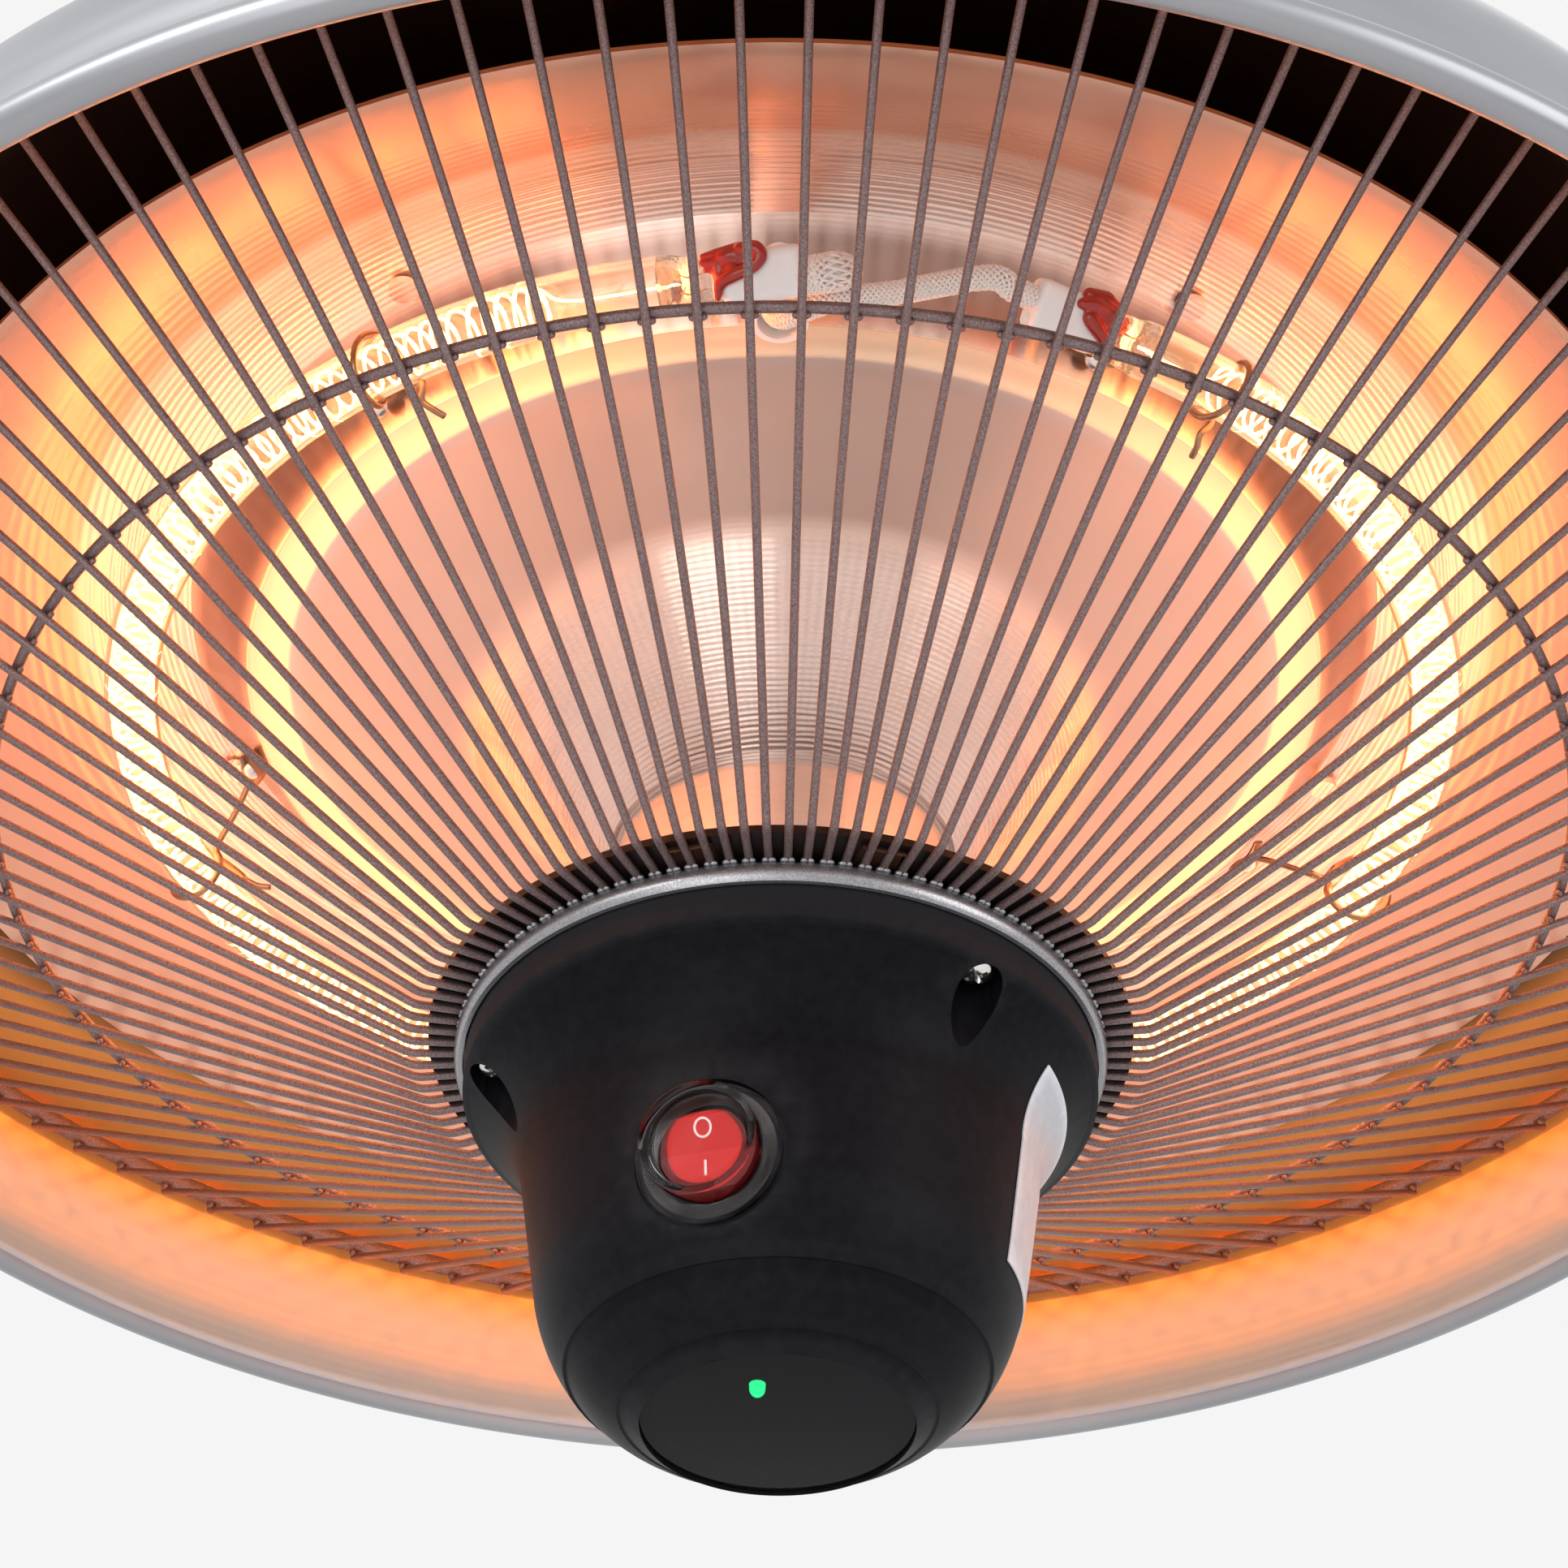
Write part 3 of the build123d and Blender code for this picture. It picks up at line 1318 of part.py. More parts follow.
# Control board on three posts
with BuildPart() as control_board:
    with BuildSketch(Plane.XY.offset(level(board_height))):
        Circle(board_radius)
        with Locations([tuple(place_at(post_place_radius, azimuth, 0))[:2] for azimuth in post_azimuths]):
            Circle(board_screw_radius + board_screw_clearance, mode=Mode.SUBTRACT)
    extrude(amount=board_thickness)
control_board.part.label = "control_board"
export_step(control_board.part, "parts/control_board.step")

with BuildPart() as board_screws:
    for azimuth in post_azimuths:
        spot = place_at(post_place_radius, azimuth, board_height)
        with BuildSketch(Plane(origin=spot - Vector(0, 0, board_screw_grip))):
            Circle(board_screw_radius)
        extrude(amount=board_screw_grip + board_thickness)
        with BuildSketch(Plane(origin=spot + Vector(0, 0, board_thickness))):
            Circle(board_screw_head_radius)
        extrude(amount=board_screw_head_height)
board_screws.part.label = "board_screws"
export_step(board_screws.part, "parts/board_screws.step")

# Status lamp and infrared receiver under the board, over the window
with BuildPart() as status_led:
    with BuildSketch(Plane(origin=(*led_place, level(board_height)))):
        Circle(led_radius)
    extrude(amount=-led_length + led_radius)
    with Locations((*led_place, level(board_height) - led_length + led_radius)):
        Sphere(led_radius)
status_led.part.label = "status_led"
export_step(status_led.part, "parts/status_led.step")

with BuildPart() as infrared_receiver:
    with BuildSketch(Plane(origin=(*receiver_place, level(board_height)))):
        RectangleRounded(receiver_size[0], receiver_size[1], receiver_rounding)
    extrude(amount=-receiver_size[2])
infrared_receiver.part.label = "infrared_receiver"
export_step(infrared_receiver.part, "parts/infrared_receiver.step")

# Tall parts on the board
with BuildPart() as relay:
    with BuildSketch(Plane(origin=(*relay_place, board_top))):
        RectangleRounded(relay_size[0], relay_size[1], board_part_rounding)
    extrude(amount=relay_size[2])
relay.part.label = "relay"
export_step(relay.part, "parts/relay.step")

with BuildPart() as transformer:
    with BuildSketch(Plane(origin=(*transformer_place, board_top))):
        RectangleRounded(transformer_size[0], transformer_size[1], board_part_rounding)
    extrude(amount=transformer_size[2])
transformer.part.label = "transformer"
export_step(transformer.part, "parts/transformer.step")

with BuildPart() as capacitors:
    for place in capacitor_places:
        with BuildSketch(Plane(origin=(*place, board_top))):
            Circle(capacitor_radius)
        extrude(amount=capacitor_length)
capacitors.part.label = "capacitors"
export_step(capacitors.part, "parts/capacitors.step")

print("eye to guard plane", round(eye_height, 3))
print("hinge centre", [round(value, 4) for value in tuple(hinge_centre)])
print("hinge axis", [round(value, 5) for value in tuple(switch_across)])
print("fulcrum centre", [round(value, 4) for value in tuple(fulcrum_centre)])
print("switch axis", [round(value, 5) for value in tuple(switch_axis)])
print("gland level", round(gland_level, 3))
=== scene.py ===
import math

import bmesh
import bpy
from mathutils import Matrix, Vector, noise


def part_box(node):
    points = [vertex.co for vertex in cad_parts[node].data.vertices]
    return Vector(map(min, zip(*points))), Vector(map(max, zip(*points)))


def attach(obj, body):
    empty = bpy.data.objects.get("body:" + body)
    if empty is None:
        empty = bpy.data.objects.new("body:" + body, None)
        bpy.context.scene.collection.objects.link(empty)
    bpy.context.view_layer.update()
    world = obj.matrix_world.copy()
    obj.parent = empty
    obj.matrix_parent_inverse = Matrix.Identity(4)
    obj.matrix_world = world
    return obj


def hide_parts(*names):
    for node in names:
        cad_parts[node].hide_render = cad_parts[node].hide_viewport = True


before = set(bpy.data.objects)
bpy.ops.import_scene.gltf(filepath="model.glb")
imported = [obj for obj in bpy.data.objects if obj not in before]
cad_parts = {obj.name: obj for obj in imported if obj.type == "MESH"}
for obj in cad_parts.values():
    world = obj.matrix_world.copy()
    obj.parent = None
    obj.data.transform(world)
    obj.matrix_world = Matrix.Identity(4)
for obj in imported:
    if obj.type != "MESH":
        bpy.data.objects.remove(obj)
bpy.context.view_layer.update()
mm = 0.001
front = -90.0    # azimuth of the side with the lamp's open end, in degrees
print("frame loaded:", len(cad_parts), "nodes")

# Heights are in millimetres above the plane of the guard wires' inner ends
guardWire = {"count": 110, "sectors": 10, "phase": -3.0, "radius": 0.75, "sides": 12}
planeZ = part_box("guard_wires_1")[0].z + guardWire["radius"] * mm


def level(height):
    return planeZ + height * mm


def spot(radius, azimuth, height):
    # A point from its distance to the axis, its azimuth and its height
    turn = math.radians(azimuth)
    return Vector((radius * mm * math.cos(turn), radius * mm * math.sin(turn), level(height)))


def sideways(azimuth):
    # Unit vectors away from the axis and round it
    turn = math.radians(azimuth)
    return Vector((math.cos(turn), math.sin(turn), 0)), Vector((-math.sin(turn), math.cos(turn), 0))


# Camera, with the photograph's place and lens
cameraFacts = {
    "place": (-7.42, -621.4, -436.7),    # right, back and up from the middle of the guard plane, in mm
    "pitch": 38.617,
    "yaw": 0.704,
    "roll": 0.432,
    "focal": 5397.7,                     # pixels of a picture 1932 wide
    "frame": 1932,
}


def makeCamera(facts):
    pitch, yaw, roll = (math.radians(facts[key]) for key in ("pitch", "yaw", "roll"))
    ahead = Vector((math.sin(yaw) * math.cos(pitch), math.cos(yaw) * math.cos(pitch), math.sin(pitch)))
    right = ahead.cross(Vector((0, 0, 1))).normalized()
    up = right.cross(ahead)
    rightRolled = math.cos(roll) * right + math.sin(roll) * up
    upRolled = -math.sin(roll) * right + math.cos(roll) * up
    data = bpy.data.cameras.new("photoCamera")
    data.sensor_fit = "HORIZONTAL"
    data.sensor_width = 36.0
    data.lens = facts["focal"] / facts["frame"] * data.sensor_width
    data.clip_start = 0.01
    data.clip_end = 30
    camera = bpy.data.objects.new("photoCamera", data)
    bpy.context.scene.collection.objects.link(camera)
    turn = Matrix((rightRolled, upRolled, -ahead)).transposed().to_4x4()
    x, y, h = facts["place"]
    camera.matrix_world = Matrix.Translation((x * mm, y * mm, level(h))) @ turn
    bpy.context.scene.camera = camera


makeCamera(cameraFacts)
print("camera placed")


# Mesh tools
def shadeMesh(mesh, smoothAngle):
    mesh.shade_smooth()
    if smoothAngle < 180:
        mesh.set_sharp_from_angle(angle=math.radians(smoothAngle))


def addMesh(name, points, faces, smoothAngle=40):
    mesh = bpy.data.meshes.new(name)
    mesh.from_pydata([tuple(p) for p in points], [], faces)
    mesh.validate()
    shadeMesh(mesh, smoothAngle)
    piece = bpy.data.objects.new(name, mesh)
    bpy.context.scene.collection.objects.link(piece)
    return piece


def weld(piece, distance=1e-6):
    # Joins points that lie on each other, such as those of a profile on the axis
    shape = bmesh.new()
    shape.from_mesh(piece.data)
    bmesh.ops.remove_doubles(shape, verts=shape.verts, dist=distance)
    bmesh.ops.recalc_face_normals(shape, faces=shape.faces)
    shape.to_mesh(piece.data)
    shape.free()


def bake(piece):
    # Replaces a mesh by what its modifiers make of it
    graph = bpy.context.evaluated_depsgraph_get()
    made = bpy.data.meshes.new_from_object(piece.evaluated_get(graph))
    piece.modifiers.clear()
    piece.data = made


def cutAway(piece, cutter, smoothAngle):
    modifier = piece.modifiers.new("cut", "BOOLEAN")
    modifier.operation = "DIFFERENCE"
    modifier.solver = "EXACT"
    modifier.object = cutter
    bake(piece)
    bpy.data.objects.remove(cutter)
    shadeMesh(piece.data, smoothAngle)


def drill(piece, ends, radius, sides, smoothAngle=40):
    cutAway(piece, addMesh("drill", *tubeParts(ends, radius * mm, sides)), smoothAngle)


def settle(piece, material, body="heater_body", replaced=()):
    # Gives a piece its material, the body it rides on and the nodes it stands for
    piece.data.materials.clear()
    piece.data.materials.append(material)
    if replaced:
        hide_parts(*replaced)
    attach(piece, body)
    return piece


def dress(material, *nodes):
    # Gives CAD nodes that keep their shape a better material
    for name in nodes:
        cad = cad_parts[name]
        if not cad.material_slots:
            cad.data.materials.append(material)
        for place in cad.material_slots:
            place.material = material


def arc(first, middle, last, steps):
    # Points on the circle through three points of a profile, without the first
    (ax, ay), (bx, by), (cx, cy) = first, middle, last
    d = 2 * (ax * (by - cy) + bx * (cy - ay) + cx * (ay - by))
    a2, b2, c2 = ax * ax + ay * ay, bx * bx + by * by, cx * cx + cy * cy
    x = (a2 * (by - cy) + b2 * (cy - ay) + c2 * (ay - by)) / d
    y = (a2 * (cx - bx) + b2 * (ax - cx) + c2 * (bx - ax)) / d
    radius = math.hypot(ax - x, ay - y)
    begin = math.atan2(ay - y, ax - x)
    through = math.atan2(by - y, bx - x)
    span = (math.atan2(cy - y, cx - x) - begin) % (2 * math.pi)
    if (through - begin) % (2 * math.pi) > span:
        span -= 2 * math.pi
    turns = [begin + span * k / steps for k in range(1, steps + 1)]
    return [(x + radius * math.cos(t), y + radius * math.sin(t)) for t in turns]


def sweepArc(centre, radius, begin, end, steps):
    turns = [math.radians(begin + (end - begin) * k / steps) for k in range(steps + 1)]
    return [(centre[0] + radius * math.cos(t), centre[1] + radius * math.sin(t)) for t in turns]


def turnProfile(name, profile, place, segments, closed, span, smoothAngle):
    # Sweeps a profile round an axis; place(radius, turn in degrees, height) gives each point
    whole = abs(span - 360) < 1e-6
    columns = segments if whole else segments + 1
    points = [place(r, span * k / segments, h) for k in range(columns) for r, h in profile]
    size = len(profile)
    faces = []
    rows = size if closed else size - 1
    for k in range(segments):
        here, there = k * size, ((k + 1) % columns) * size
        for i in range(rows):
            j = (i + 1) % size
            if profile[i][0] > 1e-6 or profile[j][0] > 1e-6:
                faces.append((here + i, there + i, there + j, here + j))
    if not whole and closed:
        last = (columns - 1) * size
        faces.append(tuple(range(size)))
        faces.append(tuple(last + i for i in reversed(range(size))))
    piece = addMesh(name, points, faces, 180)
    weld(piece)
    shadeMesh(piece.data, smoothAngle)
    return piece


def lathe(name, profile, segments=288, smoothAngle=40):
    # Turns a closed profile of (radius, height) points about the axis of the heater
    return turnProfile(name, profile, spot, segments, True, 360.0, smoothAngle)


def placeAbout(centre, across, up, axis):
    # A place function for turnProfile, about an axis of its own
    def place(radius, turn, height):
        angle = math.radians(turn)
        return centre + ((across * math.cos(angle) + up * math.sin(angle)) * radius + axis * height) * mm

    return place


def tubeParts(path, radii, sides, offset=0, flat=1.0):
    # Points and faces of a round or flattened tube along a path
    path = [Vector(p) for p in path]
    if not hasattr(radii, "__len__"):
        radii = [radii] * len(path)
    points, faces = [], []
    side = (path[1] - path[0]).orthogonal().normalized()
    turns = [2 * math.pi * k / sides for k in range(sides)]
    for i, (place, radius) in enumerate(zip(path, radii)):
        pull = (path[min(i + 1, len(path) - 1)] - path[max(i - 1, 0)]).normalized()
        side = (side - pull * side.dot(pull)).normalized()
        other = pull.cross(side)
        points += [place + radius * (math.cos(t) * side + flat * math.sin(t) * other) for t in turns]
        if i:
            a, b = offset + (i - 1) * sides, offset + i * sides
            faces += [(a + k, a + (k + 1) % sides, b + (k + 1) % sides, b + k) for k in range(sides)]
    last = offset + (len(path) - 1) * sides
    faces.append(tuple(offset + k for k in reversed(range(sides))))
    faces.append(tuple(last + k for k in range(sides)))
    return points, faces


def addTubes(name, routes, sides=12, smoothAngle=50, flat=1.0):
    # One mesh of several tubes, each given as (path, radii)
    points, faces = [], []
    for path, radii in routes:
        morePoints, moreFaces = tubeParts(path, radii, sides, len(points), flat)
        points += morePoints
        faces += moreFaces
    return addMesh(name, points, faces, smoothAngle)


def addBalls(name, balls, rings=6, sides=10):
    # One mesh of ellipsoids, each given as (centre, three half axes)
    points, faces = [], []
    for centre, axes in balls:
        start = len(points)
        points.append(centre + axes[2])
        for i in range(1, rings):
            tilt = math.pi * i / rings
            for k in range(sides):
                turn = 2 * math.pi * k / sides
                ring = axes[0] * math.cos(turn) + axes[1] * math.sin(turn)
                points.append(centre + ring * math.sin(tilt) + axes[2] * math.cos(tilt))
        points.append(centre - axes[2])
        low = start + 1 + (rings - 2) * sides
        for k in range(sides):
            j = (k + 1) % sides
            faces.append((start, start + 1 + k, start + 1 + j))
            faces.append((len(points) - 1, low + j, low + k))
            for i in range(rings - 2):
                a = start + 1 + i * sides
                faces.append((a + k, a + sides + k, a + sides + j, a + j))
    return addMesh(name, points, faces, 180)


def loft(name, sections, smoothAngle=40):
    # A closed skin through rings of points that all have the same count
    size = len(sections[0])
    points = [p for ring in sections for p in ring]
    faces = []
    for i in range(len(sections) - 1):
        a, b = i * size, (i + 1) * size
        faces += [(a + k, a + (k + 1) % size, b + (k + 1) % size, b + k) for k in range(size)]
    last = (len(sections) - 1) * size
    faces.append(tuple(reversed(range(size))))
    faces.append(tuple(last + k for k in range(size)))
    piece = addMesh(name, points, faces, 180)
    weld(piece, 1e-9)
    shadeMesh(piece.data, smoothAngle)
    return piece


def smoothPath(points, steps):
    # A smooth line through points, with a number of steps between each two
    ends = [points[0] * 2 - points[1], *points, points[-1] * 2 - points[-2]]
    path = []
    for a, b, c, d in zip(ends, ends[1:], ends[2:], ends[3:]):
        for k in range(steps):
            t = k / steps
            bent = (2 * a - 5 * b + 4 * c - d) * t**2 + (3 * b - a - 3 * c + d) * t**3
            path.append(0.5 * (2 * b + (c - a) * t + bent))
    return path + [points[-1]]


def blendValues(values, count):
    # Spreads a few values evenly over a longer list
    last = len(values) - 1
    out = []
    for k in range(count):
        t = k / (count - 1) * last
        i = min(int(t), last - 1)
        out.append(values[i] + (values[i + 1] - values[i]) * (t - i))
    return out


def fuse(piece, voxel, smoothing=2):
    # Melts the balls of a mesh into one skin
    remesh = piece.modifiers.new("melt", "REMESH")
    remesh.mode = "VOXEL"
    remesh.voxel_size = voxel
    soften = piece.modifiers.new("soften", "SMOOTH")
    soften.factor = 0.5
    soften.iterations = smoothing
    bake(piece)
    piece.data.shade_smooth()


# Material tools
def newMaterial(name):
    material = bpy.data.materials.new(name)
    material.use_nodes = True
    tree = material.node_tree
    tree.nodes.clear()
    out = tree.nodes.new("ShaderNodeOutputMaterial")
    shader = tree.nodes.new("ShaderNodeBsdfPrincipled")
    tree.links.new(shader.outputs["BSDF"], out.inputs["Surface"])
    return material, tree, shader


def feed(tree, socket, value):
    # Links an output to a socket, or sets the socket's own value
    if isinstance(value, bpy.types.NodeSocket):
        tree.links.new(value, socket)
    elif isinstance(value, (tuple, list)) and len(value) == 3 and socket.type == "RGBA":
        socket.default_value = (*value, 1)
    else:
        socket.default_value = value


def addNode(tree, kind, **inputs):
    made = tree.nodes.new(kind)
    for key, value in inputs.items():
        feed(tree, made.inputs[key.replace("_", " ")], value)
    return made


def maths(tree, operation, a, b=None):
    made = tree.nodes.new("ShaderNodeMath")
    made.operation = operation
    feed(tree, made.inputs[0], a)
    if b is not None:
        feed(tree, made.inputs[1], b)
    return made.outputs[0]


def mixColors(tree, share, first, second):
    made = tree.nodes.new("ShaderNodeMix")
    made.data_type = "RGBA"
    feed(tree, made.inputs[0], share)
    feed(tree, made.inputs[6], first)
    feed(tree, made.inputs[7], second)
    return made.outputs[2]


noiseSpread = (0.3, 0.7)    # where most values of a noise lie


def remap(tree, value, fromLow, fromHigh, low, high, smooth=False):
    made = tree.nodes.new("ShaderNodeMapRange")
    made.interpolation_type = "SMOOTHSTEP" if smooth else "LINEAR"
    feed(tree, made.inputs[0], value)
    for i, limit in enumerate((fromLow, fromHigh, low, high)):
        made.inputs[i + 1].default_value = limit
    return made.outputs[0]


def band(tree, value, low, high, soft):
    # 1 between two limits and 0 outside them, with soft edges
    rise = remap(tree, value, low - soft, low + soft, 0, 1, True)
    fall = remap(tree, value, high - soft, high + soft, 1, 0, True)
    return maths(tree, "MULTIPLY", rise, fall)


def gained(tree, value, low, high, soft, gain):
    return maths(tree, "MULTIPLY", band(tree, value, low, high, soft), gain)


def bump(tree, height, strength, distance, normal=None):
    made = addNode(tree, "ShaderNodeBump", Height=height, Strength=strength, Distance=distance)
    if normal is not None:
        feed(tree, made.inputs["Normal"], normal)
    return made.outputs[0]


def objectPlace(tree):
    return tree.nodes.new("ShaderNodeTexCoord").outputs["Object"]


def placeParts(tree):
    # The x, y and z of the object's own coordinates
    return addNode(tree, "ShaderNodeSeparateXYZ", Vector=objectPlace(tree)).outputs


def axisRadius(tree, parts):
    squares = [maths(tree, "MULTIPLY", parts[i], parts[i]) for i in (0, 1)]
    return maths(tree, "SQRT", maths(tree, "ADD", *squares))


def makeGroup(name, inputs, outputs):
    group = bpy.data.node_groups.new(name, "ShaderNodeTree")
    for label, value in inputs.items():
        socket = group.interface.new_socket(label, in_out="INPUT", socket_type="NodeSocketFloat")
        socket.default_value = value
    for label in outputs:
        group.interface.new_socket(label, in_out="OUTPUT", socket_type="NodeSocketFloat")
    return group, group.nodes.new("NodeGroupInput"), group.nodes.new("NodeGroupOutput")


def addNoise(tree, place, scale, detail):
    made = addNode(tree, "ShaderNodeTexNoise", Vector=place, Scale=scale)
    made.inputs["Detail"].default_value = detail
    return made


def ringNoise(tree, along, turn, density, breaks, detail):
    # Noise drawn out into rings: fine along the profile, slow along each turn
    place = tree.nodes.new("ShaderNodeCombineXYZ")
    feed(tree, place.inputs[0], maths(tree, "MULTIPLY", along, density))
    feed(tree, place.inputs[1], maths(tree, "MULTIPLY", turn, breaks))
    return addNoise(tree, place.outputs[0], 1.0, detail).outputs["Fac"]


turningFacts = {
    "rise": 0.7,                 # share of the height in the distance along a profile
    "smears": (70.0, 1.6, 3.0),  # how many to a metre, how many to a radian, detail
    "turn": 6.28,                # radians from one groove to the next
    "wobble": 14.0, "wave": 0.22, "rough": 0.8, "fineBreaks": 4.0,
}


def makeTurningLines(facts):
    # Rings that a spinning lathe leaves: coarse grooves, fine lines and broad smears
    group, given, out = makeGroup(
        "turningLines", {"Grooves": 800.0, "Lines": 4200.0, "Breaks": 2.0}, ("Groove", "Line", "Smear")
    )
    parts = placeParts(group)
    along = maths(group, "ADD", axisRadius(group, parts), maths(group, "MULTIPLY", parts[2], facts["rise"]))
    turn = maths(group, "ABSOLUTE", maths(group, "ARCTAN2", parts[0], parts[1]))
    grooves, breaks = given.outputs["Grooves"], given.outputs["Breaks"]
    smear = ringNoise(group, along, turn, *facts["smears"])
    rough = maths(group, "MULTIPLY", ringNoise(group, along, turn, grooves, breaks, 1.0), facts["rough"])
    turns = maths(group, "MULTIPLY", along, maths(group, "MULTIPLY", grooves, facts["turn"]))
    phase = maths(group, "ADD", turns, maths(group, "MULTIPLY", smear, facts["wobble"]))
    wave = maths(group, "MULTIPLY", maths(group, "SINE", phase), facts["wave"])
    fine = maths(group, "MULTIPLY", breaks, facts["fineBreaks"])
    feed(group, out.inputs["Groove"], maths(group, "ADD", wave, rough))
    feed(group, out.inputs["Line"], ringNoise(group, along, turn, given.outputs["Lines"], fine, 2.0))
    feed(group, out.inputs["Smear"], smear)
    return group


grainFacts = {"detail": 2.0, "cloudScale": 34.0, "cloudDetail": 4.0}


def makeGrain(facts):
    # Small even grain for mouldings and coats, with a slow cloud for uneven colour
    group, given, out = makeGroup("fineGrain", {"Size": 0.4, "Roughen": 0.6}, ("Height", "Cloud"))
    place = objectPlace(group)
    scale = maths(group, "DIVIDE", 1000.0, given.outputs["Size"])
    grain = addNoise(group, place, scale, facts["detail"])
    feed(group, grain.inputs["Roughness"], given.outputs["Roughen"])
    cloud = addNoise(group, place, facts["cloudScale"], facts["cloudDetail"])
    feed(group, out.inputs["Height"], grain.outputs["Fac"])
    feed(group, out.inputs["Cloud"], cloud.outputs["Fac"])
    return group


wearFacts = {"scale": 420.0, "detail": 3.0, "share": 0.06}


def makeWear(facts):
    # Worn edges: 1 where a surface bulges out, broken up by noise
    group, given, out = makeGroup("edgeWear", {"Low": 0.52, "High": 0.62}, ("Worn",))
    point = group.nodes.new("ShaderNodeNewGeometry").outputs["Pointiness"]
    rough = addNoise(group, objectPlace(group), facts["scale"], facts["detail"]).outputs["Fac"]
    lifted = maths(group, "ADD", point, maths(group, "MULTIPLY", rough, facts["share"]))
    edge = addNode(group, "ShaderNodeMapRange", Value=lifted)
    feed(group, edge.inputs[1], given.outputs["Low"])
    feed(group, edge.inputs[2], given.outputs["High"])
    feed(group, out.inputs["Worn"], edge.outputs[0])
    return group


groups = {
    "lines": makeTurningLines(turningFacts),
    "grain": makeGrain(grainFacts),
    "wear": makeWear(wearFacts),
}


def useGroup(tree, key, **inputs):
    made = tree.nodes.new("ShaderNodeGroup")
    made.node_tree = groups[key]
    for label, value in inputs.items():
        made.inputs[label].default_value = value
    return made.outputs


def setPlain(shader, facts):
    # Numbers that are the same all over a surface
    for key, label in (
        ("coat", "Coat Weight"), ("coatRoughness", "Coat Roughness"), ("anisotropic", "Anisotropic"),
        ("turned", "Anisotropic Rotation"), ("transmission", "Transmission Weight"), ("ior", "IOR"),
        ("specular", "Specular IOR Level"), ("sheen", "Sheen Weight"), ("plainMetal", "Metallic"),
    ):
        if key in facts:
            shader.inputs[label].default_value = facts[key]
    if "glow" in facts:
        shader.inputs["Emission Color"].default_value = (*facts["glow"][0], 1)
        shader.inputs["Emission Strength"].default_value = facts["glow"][1]


grainDepth = 0.0001


def grained(name, facts):
    # Moulded, cast, coated or drawn surface with a fine grain
    material, tree, shader = newMaterial(name)
    grain = useGroup(tree, "grain", Size=facts["size"], Roughen=facts.get("roughen", 0.6))
    color = mixColors(tree, grain["Cloud"], facts["dark"], facts["light"])
    if "worn" in facts:
        color = mixColors(tree, useGroup(tree, "wear")["Worn"], color, facts["worn"])
    feed(tree, shader.inputs["Base Color"], color)
    feed(tree, shader.inputs["Metallic"], facts.get("metallic", 0.0))
    feed(tree, shader.inputs["Roughness"], remap(tree, grain["Cloud"], *noiseSpread, *facts["roughness"]))
    depth = facts.get("depth", grainDepth)
    feed(tree, shader.inputs["Normal"], bump(tree, grain["Height"], facts["bump"], depth))
    setPlain(shader, facts)
    return material


def spunOutside(name, facts):
    # Lacquered spun sheet: soft rings and long smears in the gloss
    material, tree, shader = newMaterial(name)
    lines = useGroup(tree, "lines", Grooves=facts["grooves"], Breaks=facts["breaks"])
    grain = useGroup(tree, "grain", Size=0.3)
    smear = remap(tree, lines["Smear"], *facts["spread"], 0, 1)
    feed(tree, shader.inputs["Base Color"], mixColors(tree, smear, facts["dark"], facts["light"]))
    feed(tree, shader.inputs["Metallic"], facts["metallic"])
    feed(tree, shader.inputs["Roughness"], remap(tree, lines["Smear"], *noiseSpread, *facts["roughness"]))
    fine = bump(tree, grain["Height"], facts["grain"], grainDepth / 2)
    feed(tree, shader.inputs["Normal"], bump(tree, lines["Groove"], facts["bump"], facts["depth"], fine))
    setPlain(shader, facts)
    return material


def liningWithPaintedLight(name, facts):
    # Inside of the shade: lacquer with a painted blue tint at the lip against the lamp's orange light, the
    # lamp's painted orange glow higher up, and painted shade over the reflector
    material, tree, shader = newMaterial(name)
    lines = useGroup(tree, "lines", Grooves=facts["grooves"], Breaks=facts["breaks"])
    smear = maths(tree, "MULTIPLY", maths(tree, "SUBTRACT", lines["Smear"], 0.5), facts["waver"] * mm)
    height = maths(tree, "ADD", placeParts(tree)[2], smear)
    # Colour by height: a lip tinted blue against the lamp's orange light, then the lamp's painted orange
    # glow, then painted shade over the reflector
    color = facts["lip"]
    for low, high, tone in facts["zones"]:
        share = remap(tree, height, level(low), level(high), 0, 1, True)
        color = mixColors(tree, share, color, tone)
    low, high = facts["zones"][-1][:2]
    # Share of the painted shade over the reflector, which also takes the metal away
    paintedShade = remap(tree, height, level(low), level(high), 0, 1, True)
    feed(tree, shader.inputs["Base Color"], color)
    feed(tree, shader.inputs["Metallic"], remap(tree, paintedShade, 0, 1, facts["metallic"], 0.0))
    feed(tree, shader.inputs["Roughness"], remap(tree, lines["Smear"], *noiseSpread, *facts["roughness"]))
    feed(tree, shader.inputs["Normal"], bump(tree, lines["Groove"], facts["bump"], facts["depth"]))
    setPlain(shader, facts)
    return material


